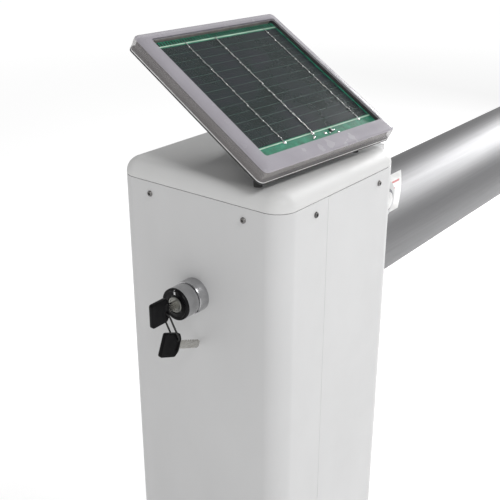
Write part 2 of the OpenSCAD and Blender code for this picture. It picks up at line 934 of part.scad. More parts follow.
// Black face with its raised rim and index mark
module lock_face() {
    y0 = face_y - ring_l - barrel_l - face_l;
    color("black")
    difference() {
        rod_y(y0, y0 + face_l, lock_x, lock_z, barrel_r);
        rod_y(y0 - 1, y0 + face_l + 1, lock_x, lock_z, plug_r + 1);
        // the index mark's groove
        box(lock_x - 1.5, lock_x + 1.5, y0 - 1, y0 + 0.5,
            lock_z + plug_r + 2, lock_z + barrel_r + 1);
    }
}

module lock_nut() {
    color("silver")
    difference() {
        xz(-inner, 6) translate([lock_x, lock_z]) hex(17);
        rod_y(-inner - 1, -inner + 7, lock_x, lock_z, 11);
    }
}

module lock_plug() {
    color("silver")
    difference() {
        union() {
            rod_y(plug_y, face_y + 22, lock_x, lock_z, plug_r);
            // square tail that turns the release shaft
            box(lock_x - 3, lock_x + 3, face_y + 21, face_y + 44, lock_z - 3, lock_z + 3);
        }
        box(lock_x - 1.25, lock_x + 1.25, plug_y - 1, plug_y + 24, lock_z - 4.3, lock_z + 4.3);
    }
}

// A key's blade, tip along +Y, the front of the keyway at y = 0
module blade() {
    difference() {
        box(-1.1, 1.1, -12, 19.5, -4, 4);
        for (i = [0:4])
            box(-2, 2, 2.5 + i * 3.2, 4.1 + i * 3.2, 4 - 0.8 - (i * 7 % 3) * 0.5, 5);
        for (s = [-1, 1])
            translate([0, 19.5, s * 4]) rotate([45, 0, 0]) cube([4, 3, 3], center = true);
    }
}

// A key's plastic head, with the slit for the loop near the blade
module head() {
    difference() {
        union() {
            yz(-head_t / 2, head_t)
                polygon([[0, -6], [0, 6], [-3, head_h / 2], [-head_l + 4, head_h / 2],
                         [-head_l, head_h / 2 - 4], [-head_l, -head_h / 2 + 4],
                         [-head_l + 4, -head_h / 2], [-3, -head_h / 2]]);
        }
        yz(-head_t, 2 * head_t)
            translate([-4 - 1.6, -slit_end]) square([3.2, 2 * slit_end]);
        for (s = [-1, 1])
            rod_x(-head_t, head_t, -4, s * slit_end, 1.6);
        // pocket that holds the blade
        box(-1.1, 1.1, -1.5, 1, -4, 4);
    }
}

module in_lock() {
    translate([lock_x, head_y, lock_z]) children();
}

module key_blade() {
    color("silver")
    difference() {
        translate([lock_x, plug_y, lock_z]) blade();
        box(lock_x - 2, lock_x + 2, head_y - 20, head_y - 1.5, lock_z - 5, lock_z + 5);
    }
}

module key_head() {
    color("black") in_lock() head();
}

// The spare key hangs from the loop with its blade towards the column
module hanging() {
    translate(loop_end)
        rotate([0, 0, spare_turn]) rotate([spare_lean, 0, 0])
            translate([0, 4, -4.2]) children();
}

module spare_key_blade() {
    color("silver")
    hanging()
        difference() {
            translate([0, 8.5, 0]) blade();
            box(-2, 2, -10, -1.5, -5, 5);
        }
}

module spare_key_head() {
    color("black") hanging() head();
}

// Black loop through the two slits
loop_up = unit(loop_top - loop_end);
loop_side = unit(cross(loop_up, [0, -1, 0.1]));
loop_points = [for (i = [0:31])
    let (a = 360 * i / 32)
    (i <= 16 ? loop_top - loop_x * loop_up : loop_end + loop_x * loop_up)
    + loop_x * (cos(a) * loop_side + sin(a) * loop_up)];

module key_loop() {
    n = len(loop_points);
    k = 8;
    tangent = [for (i = [0:n - 1])
        unit(loop_points[(i + 1) % n] - loop_points[(i + n - 1) % n])];
    rings = [for (i = [0:n - 1])
        let (e1 = cross(loop_side, loop_up), e2 = cross(tangent[i], e1))
        for (j = [0:k - 1])
            loop_points[i] + loop_r * (cos(360 * j / k) * e1 + sin(360 * j / k) * e2)];
    color("black")
    polyhedron(
        points = rings,
        faces = [for (i = [0:n - 1])
            for (j = [0:k - 1])
                [i * k + j, i * k + (j + 1) % k,
                 ((i + 1) % n) * k + (j + 1) % k, ((i + 1) % n) * k + j]],
        convexity = 6
    );
}

// ---- manual release ----

cam_y = 6;
cam_t = 12;
cam_r = 14;
cam_throw = 4;

// Shaft turned by the lock's tail, with an eccentric at its rear end
module release_shaft() {
    y0 = face_y + 28;
    color("silver")
    difference() {
        union() {
            rod_y(y0, y0 + 24, lock_x, lock_z, 8);
            rod_y(y0 + 23, cam_y + cam_t, lock_x, lock_z, 5);
            rod_y(cam_y, cam_y + cam_t,
                  lock_x + cam_throw * cos(135), lock_z + cam_throw * sin(135), cam_r);
        }
        box(lock_x - 3.2, lock_x + 3.2, y0 - 1, y0 + 20, lock_z - 3.2, lock_z + 3.2);
    }
}

// Cross bar that carries the release shaft
module release_bracket() {
    color("silver")
    difference() {
        union() {
            box(-inner + 2.4, plate_x, -24, -20, lock_z - 14, lock_z + 14);
            box(-inner + 2.4, -inner + 6, -24, 6, lock_z - 14, lock_z + 14);
            box(plate_x - 4, plate_x, -24, -4, lock_z - 14, lock_z + 14);
            rod_y(-26, -14, lock_x, lock_z, 9);
        }
        rod_y(-30, -10, lock_x, lock_z, 5.05);
    }
}

lever_x = lock_x + 28;
lever_z = lock_z + 38;
lever_face = lock_x + cam_throw * cos(135) + cam_r + 0.35;

// Lever on the gearbox that the eccentric pushes aside to free the boom
module clutch_lever() {
    color("darkgray")
    union() {
        rod_y(10, gearbox_y0 - 0.3, lever_x, lever_z, 4);
        xz(8, 7)
            union() {
                translate([lever_x, lever_z]) circle(9);
                polygon([[lever_x - 9, lever_z], [lever_x + 6, lever_z],
                         [lever_face + 9, lock_z - 10], [lever_face, lock_z - 10],
                         [lever_face, lock_z + 18]]);
            }
    }
}

// ---- solar panel and its mount ----

// Turn into the panel's swivel position
module swivelled() {
    translate([0, swivel_y, 0]) rotate(panel_yaw) children();
}

// The panel's own frame: x down the slope, y along the hinge, z out of the face,
// with its origin in the middle of the underside
module tilted() {
    swivelled() translate([0, 0, panel_mid_z]) rotate([0, panel_tilt, 0]) children();
}

// Round plate on the lid with two uprights
module swivel_yoke() {
    z0 = lid_top + gap;
    color("silver")
    swivelled()
        difference() {
            union() {
                rod_z(z0, z0 + 4, 0, 0, 30);
                for (s = [-1, 1])
                    xz(s < 0 ? -yoke_v - 4 : yoke_v, 4)
                        union() {
                            translate([tilt_u, tilt_z]) circle(10);
                            translate([tilt_u - 10, z0 + 2])
                                square([20, tilt_z - z0 - 2]);
                            translate([-18, z0 + 2]) square([36, 6]);
                        }
            }
            rod_z(z0 - 1, z0 + 5, 0, 0, 6.3);
            rod_y(-yoke_v - 5, yoke_v + 5, tilt_u, tilt_z, 4.05);
        }
}

// Hollow bolt that the panel's lead goes down through
module swivel_bolt() {
    z0 = lid_top + gap + 4.05;
    color("silver")
    translate([0, swivel_y, 0])
        difference() {
            union() {
                rod_z(lid_top - 22, z0 + 1, 0, 0, 6);
                translate([0, 0, z0]) linear_extrude(6) hex(10);
                translate([0, 0, lid_top - 17]) linear_extrude(8) hex(10);
            }
            rod_z(lid_top - 23, z0 + 7, 0, 0, 3);
        }
}

// Channel under the panel, between the yoke's uprights
module panel_bracket() {
    color("silver")
    difference() {
        tilted()
            union() {
                box(-38, 38, -19.6, 19.6, -3, 0);
                for (s = [-1, 1])
                    xz(s < 0 ? -19.6 : 16.6, 3)
                        union() {
                            translate([0, -pivot_below]) circle(9);
                            translate([-9, -pivot_below]) square([18, pivot_below]);
                            translate([-20, -3]) square([40, 3]);
                        }
            }
        swivelled() rod_y(-yoke_v - 5, yoke_v + 5, tilt_u, tilt_z, 4.05);
    }
}

// Tilt bolt with its hand knob
module tilt_bolt() {
    color("black")
    swivelled()
        union() {
            rod_y(-yoke_v - 4.3, yoke_v + 6, tilt_u, tilt_z, 4);
            rod_y(-yoke_v - 9, -yoke_v - 4.3, tilt_u, tilt_z, 7);
            xz(yoke_v + 4.3, 14)
                translate([tilt_u, tilt_z])
                    union() {
                        circle(11);
                        for (a = [0:60:300])
                            rotate(a) translate([11, 0]) circle(3.2);
                    }
        }
}

module panel_tray() {
    color("black")
    tilted()
        linear_extrude(tray_t) round_rect(panel_l - 1, panel_w - 1, 5);
}

// Clear housing: an open box turned over on the tray
module panel_cover() {
    color("lightgray", 0.5)
    tilted()
        difference() {
            union() {
                translate([0, 0, tray_t])
                    linear_extrude(panel_t - tray_t - 3) round_rect(panel_l, panel_w, 5);
                translate([0, 0, panel_t - 4])
                    linear_extrude(4) round_rect(panel_l - 3, panel_w - 3, 4);
            }
            translate([0, 0, tray_t - 1])
                linear_extrude(panel_t - tray_t - 2)
                    round_rect(panel_l - 9, panel_w - 9, 2);
        }
}

board_l = 165;
board_w = 171;
board_u = -3.5;                  // its middle, down the slope
board_v = 4.5;                   // its middle, along the hinge
board_z = 8.8;
board_t = 1.6;

module solar_board() {
    color("seagreen")
    tilted()
        union() {
            translate([board_u, board_v, board_z])
                linear_extrude(board_t) square([board_l, board_w], center = true);
            for (sx = [-1, 1])
                for (sy = [-1, 1])
                    rod_z(tray_t, board_z + 0.5, sx * 72, sy * 72, 4);
        }
}

cells_l = 142.5;
cells_w = 166;
cells_u = -5.75;
cells_v = 4;

// Rows of cells across the board
module solar_cells() {
    pitch = cells_l / cell_rows;
    color("midnightblue")
    tilted()
        for (i = [0:cell_rows - 1])
            translate([cells_u - cells_l / 2 + i * pitch, cells_v - cells_w / 2,
                       board_z + board_t])
                cube([pitch - 0.7, cells_w, 0.4]);
}

// Rubber bumpers under the panel's low edge, just clear of the lid
module panel_feet() {
    color("black")
    for (v = [-panel_w / 2 + 6, 0.25 * panel_w])
        swivelled()
            intersection() {
                tilted_local(panel_l / 2 - 8, v) cylinder(h = 18, r = 4, center = true);
                below_tray(v);
            }
}

// A place on the underside of the panel, upright in the swivelled frame
module tilted_local(u, v) {
    translate([u * cos(panel_tilt), v, panel_mid_z - u * sin(panel_tilt)]) children();
}

// The space between the lid and the panel's underside around v
module below_tray(v) {
    low = panel_z - 3;
    xz(v - 10, 20)
        polygon([[20, low], [120, low],
                 [120, panel_mid_z - 120 * tan(panel_tilt)],
                 [20, panel_mid_z - 20 * tan(panel_tilt)]]);
}

base_plate();
rear_body();
lid();
lid_gasket();
lid_screws();
pivot_bracket();
pivot_bracket_bolts();
pivot_shaft();
shaft_clips();
pivot_cover();
stop_buffers();
torsion_spring_left();
torsion_spring_right();
chassis_plate();
chassis_screws();
gearbox_housing();
gearbox_cover();
gearbox_screws();
motor_can();
motor_end_cap();
bearing_block();
limit_switches();
battery_tray();
battery();
controller_box();
controller_cover();
release_bracket();
boom_hub();
boom_gear();
boom_gear_bolts();
pivot_bushes();
boom_tube();
boom_screws();
boom_end_cap();
output_shaft();
output_pinion();
front_cover();
cover_screws();
lock_ring();
lock_barrel();
lock_face();
lock_nut();
lock_plug();
key_blade();
key_head();
spare_key_blade();
spare_key_head();
key_loop();
release_shaft();
clutch_lever();
swivel_yoke();
swivel_bolt();
panel_bracket();
tilt_bolt();
panel_tray();
panel_cover();
solar_board();
solar_cells();
panel_feet();
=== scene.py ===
import bpy, bmesh, math
from mathutils import Matrix, Vector


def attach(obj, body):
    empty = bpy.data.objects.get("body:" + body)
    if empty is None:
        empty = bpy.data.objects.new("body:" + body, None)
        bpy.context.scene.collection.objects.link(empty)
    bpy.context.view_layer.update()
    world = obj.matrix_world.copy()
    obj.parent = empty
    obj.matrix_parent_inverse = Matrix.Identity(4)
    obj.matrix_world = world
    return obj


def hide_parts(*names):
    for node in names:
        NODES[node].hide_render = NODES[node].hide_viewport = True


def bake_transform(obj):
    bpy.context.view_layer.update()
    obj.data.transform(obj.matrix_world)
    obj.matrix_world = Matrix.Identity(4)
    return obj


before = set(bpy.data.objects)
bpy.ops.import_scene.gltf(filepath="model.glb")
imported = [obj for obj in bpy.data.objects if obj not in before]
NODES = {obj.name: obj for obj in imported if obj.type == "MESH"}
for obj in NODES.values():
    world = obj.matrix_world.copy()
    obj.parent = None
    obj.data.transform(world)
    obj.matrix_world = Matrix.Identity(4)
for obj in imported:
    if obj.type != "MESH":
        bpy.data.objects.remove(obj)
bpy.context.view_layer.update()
MM = 0.001

# ---------------------------------------------------------------- sizes, in mm, as in the CAD
HALF, CORNER, WALL = 100.0, 21.0, 2.5
SEAM_Y = -29.0
JOINT_Z, LID_TOP, BASE_T = 1000.0, 1017.0, 10.0
LID_EDGE = 15.0
SCREW_Z, SCREW_X, SIDE_FRONT, SIDE_REAR = 988.4, 57.0, -49.0, 62.0
BOOM_Z, BOOM_R, BOOM_T, BOOM_Y, BOOM_LEN = 874.0, 60.0, 2.5, 120.0, 2500.0
NOTCH = (33.0, 31.0, 45.0)   # half width, length along the tube, height above its axis
LABEL = (150.0, 202.0, 36.0, 76.0, 16)   # y from, y to, degrees from, degrees to, rows
LABEL_SKEW = 95.0   # mm that the label runs on along the tube for each radian up its side
PIVOT_Y, PIVOT_Z = 130.0, 944.0
LOCK = Vector((-2.0, -100.0, 898.0))
RING_R, RING_L, BARREL_R, BARREL_L, FACE_L, PLUG_R = 17.0, 12.0, 16.0, 14.5, 3.0, 8.0
PLUG_Y = -130.0
HEAD_Y, HEAD_L, HEAD_H, HEAD_T = -138.5, 23.0, 24.0, 5.0
PANEL_L, PANEL_W, PANEL_T, TRAY_T = 192.0, 194.0, 16.0, 2.0
TILT, YAW = math.radians(30), math.radians(-4.6)
PANEL_MID = Vector((0, 3, 1024 + PANEL_L / 2 * math.sin(TILT)))
BOARD_Z, BOARD_T = 8.8, 1.6

PANEL = (Matrix.Translation(PANEL_MID) @ Matrix.Rotation(YAW, 4, "Z")
         @ Matrix.Rotation(TILT, 4, "Y"))


# ---------------------------------------------------------------- mesh helpers
class Build:
    """Collects vertices (mm) and faces for one piece."""

    def __init__(self):
        self.v, self.f, self.m = [], [], []

    def add(self, verts, faces, slot=0, place=None):
        n = len(self.v)
        place = place or Matrix.Identity(4)
        self.v += [tuple(place @ Vector(p)) for p in verts]
        self.f += [tuple(i + n for i in f) for f in faces]
        self.m += [slot] * len(faces)
        return self

    def loft(self, loops, slot=0, place=None, close=True, cap=True):
        """Loops of the same number of points, joined in order."""
        k = len(loops[0])
        verts = [p for loop in loops for p in loop]
        faces = []
        for a in range(len(loops) - 1):
            for i in range(k if close else k - 1):
                j = (i + 1) % k
                faces.append((a * k + i, a * k + j, (a + 1) * k + j, (a + 1) * k + i))
        if cap:
            faces.append(tuple(reversed(range(k))))
            faces.append(tuple((len(loops) - 1) * k + i for i in range(k)))
        return self.add(verts, faces, slot, place)

    def ring(self, loops, slot=0, place=None):
        """A closed band: the last loop joins the first one."""
        k = len(loops[0])
        verts = [p for loop in loops for p in loop]
        n = len(loops)
        faces = [(a * k + i, a * k + (i + 1) % k,
                  ((a + 1) % n) * k + (i + 1) % k, ((a + 1) % n) * k + i)
                 for a in range(n) for i in range(k)]
        return self.add(verts, faces, slot, place)

    def lathe(self, profile, steps=64, slot=0, place=None, closed=False):
        """profile of (height, radius) turned round the local Z axis."""
        loops = []
        for h, r in profile:
            loops.append([(r * math.cos(2 * math.pi * i / steps),
                           r * math.sin(2 * math.pi * i / steps), h) for i in range(steps)])
        if closed:
            return self.ring(loops, slot, place)
        return self.loft(loops, slot, place)

    def prism(self, outline, z0, z1, slot=0, place=None):
        return self.loft([[(x, y, z0) for x, y in outline],
                          [(x, y, z1) for x, y in outline]], slot, place)

    def box(self, x0, x1, y0, y1, z0, z1, slot=0, place=None):
        return self.prism([(x0, y0), (x1, y0), (x1, y1), (x0, y1)], z0, z1, slot, place)

    def tube(self, points, r, sides=12, closed=False, slot=0, squash=1.0):
        pts = [Vector(p) for p in points]
        n = len(pts)
        loops, normal = [], None
        for i in range(n):
            if closed:
                t = (pts[(i + 1) % n] - pts[i - 1]).normalized()
            else:
                t = (pts[min(i + 1, n - 1)] - pts[max(i - 1, 0)]).normalized()
            if normal is None:
                normal = t.orthogonal().normalized()
            normal = (normal - t * normal.dot(t)).normalized()
            side = t.cross(normal)
            loops.append([tuple(pts[i] + r * (math.cos(a) * normal + squash * math.sin(a) * side))
                          for a in (2 * math.pi * j / sides for j in range(sides))])
        return self.ring(loops, slot) if closed else self.loft(loops, slot)

    def piece(self, name, body, mats, replaces=(), bevel=0.0, angle=35, segments=2,
              subdivide=0):
        mesh = bpy.data.meshes.new(name)
        mesh.from_pydata([(x * MM, y * MM, z * MM) for x, y, z in self.v], [], self.f)
        for mat in mats:
            mesh.materials.append(mat)
        for poly, m in zip(mesh.polygons, self.m):
            poly.material_index = m
        bm = bmesh.new()
        bm.from_mesh(mesh)
        bmesh.ops.remove_doubles(bm, verts=bm.verts, dist=1e-7)
        # two faces on the same corners are a wall inside the piece, where two shapes meet
        seen = {}
        for face in bm.faces:
            seen.setdefault(frozenset(v.index for v in face.verts), []).append(face)
        inside = [f for group in seen.values() if len(group) == 2 for f in group]
        bmesh.ops.delete(bm, geom=inside, context="FACES_ONLY")
        bmesh.ops.recalc_face_normals(bm, faces=bm.faces)
        bm.to_mesh(mesh)
        bm.free()
        obj = bpy.data.objects.new(name, mesh)
        bpy.context.scene.collection.objects.link(obj)
        finish_surface(obj, bevel, angle, segments, subdivide)
        if replaces:
            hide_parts(*replaces)
        if body:
            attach(obj, body)
        return obj


def finish_surface(obj, bevel, angle=35, segments=2, subdivide=0):
    obj.data.shade_smooth()
    obj.data.set_sharp_from_angle(angle=math.radians(angle))
    if subdivide:
        mod = obj.modifiers.new("round", "SUBSURF")
        mod.levels = mod.render_levels = subdivide
    if bevel:
        mod = obj.modifiers.new("edges", "BEVEL")
        mod.width = bevel * MM
        mod.segments = segments
        mod.limit_method = "ANGLE"
        mod.angle_limit = math.radians(angle)
        mod.harden_normals = True


def cut(obj, build, place):
    """Take a closed shape out of a piece's mesh."""
    verts = [place @ Vector(p) for p in build.v]
    mesh = bpy.data.meshes.new("cutter")
    mesh.from_pydata([(v.x * MM, v.y * MM, v.z * MM) for v in verts], [], build.f)
    bm = bmesh.new()
    bm.from_mesh(mesh)
    bmesh.ops.recalc_face_normals(bm, faces=bm.faces)
    bm.to_mesh(mesh)
    bm.free()
    cutter = bpy.data.objects.new("cutter", mesh)
    bpy.context.scene.collection.objects.link(cutter)
    mod = obj.modifiers.new("notch", "BOOLEAN")
    mod.operation = "DIFFERENCE"
    mod.solver = "EXACT"
    mod.object = cutter
    bpy.context.view_layer.update()
    result = obj.evaluated_get(bpy.context.evaluated_depsgraph_get())
    old, obj.data = obj.data, bpy.data.meshes.new_from_object(result)
    obj.modifiers.remove(mod)
    bpy.data.objects.remove(cutter)
    bpy.data.meshes.remove(mesh)
    bpy.data.meshes.remove(old)


def arc(cx, cy, r, a0, a1, n):
    return [(cx + r * math.cos(math.radians(a0 + (a1 - a0) * i / n)),
             cy + r * math.sin(math.radians(a0 + (a1 - a0) * i / n))) for i in range(n + 1)]


def round_rect(w, d, r, n=10, cx=0.0, cy=0.0):
    """Closed outline, anticlockwise."""
    x, y = w / 2 - r, d / 2 - r
    return (arc(cx + x, cy + y, r, 0, 90, n) + arc(cx - x, cy + y, r, 90, 180, n)
            + arc(cx - x, cy - y, r, 180, 270, n) + arc(cx + x, cy - y, r, 270, 360, n))


def column(inset, n=14):
    return round_rect(2 * (HALF - inset), 2 * (HALF - inset), CORNER - inset, n)


def front_path(inset, y_end, n=14):
    """Open outline of the front half, from the left seam round to the right seam."""
    h, r = HALF - inset, CORNER - inset
    return ([(-h, y_end)] + arc(-h + r, -h + r, r, 180, 270, n)
            + arc(h - r, -h + r, r, 270, 360, n) + [(h, y_end)])


def rear_path(inset, y_end, n=14):
    h, r = HALF - inset, CORNER - inset
    return ([(h, y_end)] + arc(h - r, h - r, r, 0, 90, n)
            + arc(-h + r, h - r, r, 90, 180, n) + [(-h, y_end)])


def at_z(outline, z):
    return [(x, y, z) for x, y in outline]


def strip(build, outer, inner, z0, z1, slot=0, rows=1):
    """A wall between two open outlines."""
    loop = outer + inner[::-1]
    zs = [z0 + (z1 - z0) * i / rows for i in range(rows + 1)]
    return build.loft([at_z(loop, z) for z in zs], slot)


# ---------------------------------------------------------------- material helpers
class Mat:
    def __init__(self, name, color, rough=0.5, metal=0.0, **extra):
        self.mat = bpy.data.materials.new(name)
        self.mat.use_nodes = True
        self.t = self.mat.node_tree
        self.p = self.t.nodes["Principled BSDF"]
        self.p.inputs["Base Color"].default_value = (*color, 1)
        self.p.inputs["Roughness"].default_value = rough
        self.p.inputs["Metallic"].default_value = metal
        for key, value in extra.items():
            self.p.inputs[key.replace("_", " ")].default_value = value
        self.normal = None

    def node(self, kind, **values):
        n = self.t.nodes.new(kind)
        for key, value in values.items():
            if key in n.inputs:
                n.inputs[key].default_value = value
            else:
                setattr(n, key, value)
        return n

    def link(self, a, out, b, inp):
        self.t.links.new(a.outputs[out], b.inputs[inp])

    def coords(self, scale=(1, 1, 1), rotation=(0, 0, 0), location=(0, 0, 0)):
        tex = self.node("ShaderNodeTexCoord")
        m = self.node("ShaderNodeMapping")
        m.inputs["Scale"].default_value = scale
        m.inputs["Rotation"].default_value = rotation
        m.inputs["Location"].default_value = location
        self.link(tex, "Object", m, "Vector")
        return m

    def noise(self, scale, detail=3.0, stretch=(1, 1, 1), rotation=(0, 0, 0), rough=0.5):
        m = self.coords(stretch, rotation)
        n = self.node("ShaderNodeTexNoise", Scale=scale, Detail=detail, Roughness=rough)
        self.link(m, "Vector", n, "Vector")
        return n

    def ramp(self, source, out, stops):
        r = self.node("ShaderNodeValToRGB")
        r.color_ramp.elements[0].position, r.color_ramp.elements[1].position = stops[0][0], stops[-1][0]
        r.color_ramp.elements[0].color = (*stops[0][1], 1)
        r.color_ramp.elements[1].color = (*stops[-1][1], 1)
        for pos, col in stops[1:-1]:
            e = r.color_ramp.elements.new(pos)
            e.color = (*col, 1)
        self.link(source, out, r, "Fac")
        return r

    def color_from(self, source, out, stops):
        r = self.ramp(source, out, stops)
        self.link(r, "Color", self.p, "Base Color")
        return r

    def rough_from(self, source, out, low, high):
        m = self.node("ShaderNodeMapRange")
        m.inputs["To Min"].default_value, m.inputs["To Max"].default_value = low, high
        m.inputs["From Min"].default_value, m.inputs["From Max"].default_value = 0.3, 0.7
        self.link(source, out, m, "Value")
        self.link(m, "Result", self.p, "Roughness")

    def bump(self, source, out, distance, strength=1.0):
        b = self.node("ShaderNodeBump", Strength=strength, Distance=distance)
        self.link(source, out, b, "Height")
        if self.normal:
            self.link(self.normal, "Normal", b, "Normal")
        self.link(b, "Normal", self.p, "Normal")
        self.normal = b


def mix_rgb(m, kind, fac, a, b):
    """A Mix node of two colour sockets, each (node, output name)."""
    n = m.node("ShaderNodeMix", data_type="RGBA", blend_type=kind)
    if isinstance(fac, tuple):
        m.t.links.new(fac[0].outputs[fac[1]], n.inputs[0])
    else:
        n.inputs[0].default_value = fac
    m.t.links.new(a[0].outputs[a[1]], n.inputs[6])
    if isinstance(b[0], (int, float)):
        n.inputs[7].default_value = (*b, 1)
    else:
        m.t.links.new(b[0].outputs[b[1]], n.inputs[7])
    return n


def paint(name, low, high, rough=0.46):
    """Powder coat: fine orange peel, faint cloudiness and a few rubbed patches."""
    m = Mat(name, high, rough, 0.0)
    m.p.inputs["Specular IOR Level"].default_value = 0.5
    cloud = m.noise(5, 5, (1, 1, 0.45))
    m.color_from(cloud, "Fac", [(0.30, low), (0.62, high)])
    m.rough_from(m.noise(38, 4), "Fac", rough - 0.05, rough + 0.07)
    m.bump(m.noise(900, 2), "Fac", 0.00006, 0.55)
    m.bump(m.noise(170, 2), "Fac", 0.00012, 0.35)
    return m.mat


def drawn_metal(name, low, high, rough, stretch, scale=300, metal=1.0, depth=0.00002, spread=0.07):
    """Metal with fine lines: stretch is small along the lines."""
    m = Mat(name, high, rough, metal)
    lines = m.noise(scale, 6, stretch, rough=0.65)
    m.color_from(lines, "Fac", [(0.25, low), (0.75, high)])
    m.rough_from(m.noise(scale * 0.6, 4, stretch), "Fac", rough - spread, rough + spread)
    m.bump(lines, "Fac", depth, 0.6)
    m.bump(m.noise(22, 3), "Fac", 0.00006, spread)
    return m.mat


def plastic(name, color, rough, grain=1200, depth=0.00004, spec=0.45):
    m = Mat(name, color, rough)
    m.p.inputs["Specular IOR Level"].default_value = spec
    low = tuple(c * 0.82 for c in color)
    high = tuple(min(1, c * 1.15 + 0.002) for c in color)
    m.color_from(m.noise(60, 4), "Fac", [(0.35, low), (0.65, high)])
    m.rough_from(m.noise(140, 3), "Fac", rough - 0.06, rough + 0.08)
    m.bump(m.noise(grain, 2), "Fac", depth, 0.6)
    return m.mat


def turned(name, low, high, rough, axis="Y", scale=1.0):
    """Lathe-turned or plated metal with faint rings along an axis."""
    stretch = {"X": (1, 0.02, 0.02), "Y": (0.02, 1, 0.02), "Z": (0.02, 0.02, 1)}[axis]
    m = Mat(name, high, rough, 1.0)
    rings = m.noise(1500 * scale, 3, stretch)
    m.color_from(m.noise(90, 4), "Fac", [(0.3, low), (0.7, high)])
    m.rough_from(rings, "Fac", max(0.02, rough - 0.04), rough + 0.06)
    m.bump(rings, "Fac", 0.000012, 0.5)
    return m.mat


def zinc(name):
    """Galvanised sheet: large faint spangles and dull blotches."""
    m = Mat(name, (0.5, 0.51, 0.52), 0.42, 0.85)
    v = m.node("ShaderNodeTexVoronoi", Scale=95.0)
    m.link(m.coords(), "Vector", v, "Vector")
    grey = m.ramp(v, "Color", [(0.1, (0.36, 0.37, 0.38)), (0.9, (0.60, 0.61, 0.62))])
    m.link(grey, "Color", m.p, "Base Color")
    m.rough_from(m.noise(30, 5), "Fac", 0.34, 0.55)
    m.bump(m.noise(260, 3), "Fac", 0.00004, 0.5)
    return m.mat


def cast_metal(name, low, high):
    m = Mat(name, high, 0.48, 0.9)
    m.color_from(m.noise(45, 6), "Fac", [(0.3, low), (0.7, high)])
    m.rough_from(m.noise(120, 4), "Fac", 0.40, 0.60)
    m.bump(m.noise(750, 3), "Fac", 0.00012, 0.7)
    return m.mat


PAINT = paint("light_grey_powder_coat", (0.560, 0.560, 0.562), (0.625, 0.625, 0.627))
PAINT_LID = paint("lid_powder_coat", (0.600, 0.600, 0.597), (0.665, 0.665, 0.660), 0.50)
ZINC = zinc("galvanised_sheet")
ALU = drawn_metal("satin_drawn_aluminium", (0.215, 0.215, 0.22), (0.245, 0.245, 0.25), 0.55,
                  (1, 0.02, 1), 420, depth=0.000001, spread=0.02)
CHROME = turned("satin_chrome", (0.40, 0.40, 0.405), (0.52, 0.52, 0.53), 0.20)
BRIGHT = turned("bright_turned_steel", (0.50, 0.50, 0.50), (0.68, 0.68, 0.67), 0.24, "X")
PLUG_METAL = turned("plug_steel", (0.13, 0.13, 0.12), (0.30, 0.30, 0.28), 0.32)
KEY_STEEL = drawn_metal("nickel_plated_key_steel", (0.42, 0.41, 0.38), (0.66, 0.65, 0.62), 0.26,
                        (1, 0.05, 1), 700)
SPRING = drawn_metal("oiled_spring_steel", (0.10, 0.10, 0.11), (0.24, 0.24, 0.26), 0.34,
                     (1, 1, 1), 500)
GEAR = drawn_metal("cut_gear_steel", (0.22, 0.22, 0.23), (0.45, 0.45, 0.46), 0.36,
                   (0.08, 1, 1), 600)
FASTENER = turned("zinc_plated_fasteners", (0.46, 0.46, 0.44), (0.70, 0.70, 0.66), 0.30, "Z")
DARK_SCREW = turned("dark_screws", (0.10, 0.10, 0.10), (0.30, 0.29, 0.28), 0.38, "Z")
BRONZE = turned("sintered_bronze", (0.40, 0.26, 0.11), (0.62, 0.43, 0.20), 0.38, "X")
CAST = cast_metal("die_cast_aluminium", (0.42, 0.42, 0.43), (0.62, 0.62, 0.63))
RUBBER = plastic("black_rubber", (0.018, 0.018, 0.018), 0.68, 900, 0.00008, 0.3)
SEAL = plastic("grey_seal_rubber", (0.17, 0.17, 0.17), 0.6, 900, 0.00006, 0.3)
BLACK = plastic("black_moulded_plastic", (0.016, 0.016, 0.017), 0.42)
KEY_BLACK = plastic("key_head_plastic", (0.003, 0.003, 0.0035), 0.34, 1500, 0.00003, 0.10)
FACE_BLACK = plastic("lock_face_black", (0.003, 0.003, 0.0035), 0.28, 1800, 0.00002, 0.12)
GREY_PLASTIC = plastic("grey_moulded_plastic", (0.42, 0.43, 0.44), 0.45)
BATTERY = plastic("battery_case_plastic", (0.06, 0.06, 0.065), 0.5, 500, 0.0001)
MOTOR = plastic("motor_black_enamel", (0.02, 0.02, 0.022), 0.3, 400, 0.00004)
LABEL_WHITE = plastic("label_white_film", (0.70, 0.70, 0.69), 0.4, 900, 0.00002)
LABEL_RED = plastic("label_red_print", (0.45, 0.05, 0.05), 0.4, 900, 0.00001)
WHITE = plastic("white_marking", (0.80, 0.80, 0.80), 0.45)


# ---------------------------------------------------------------- column shells
def front_cover():
    b = Build()
    y = SEAM_Y - 0.15
    strip(b, front_path(0, y), front_path(WALL, y), BASE_T + 1, JOINT_Z + 0.2, rows=6)
    b.piece("front_cover_sheet", "cover", [PAINT], ["front_cover"], bevel=0.22)


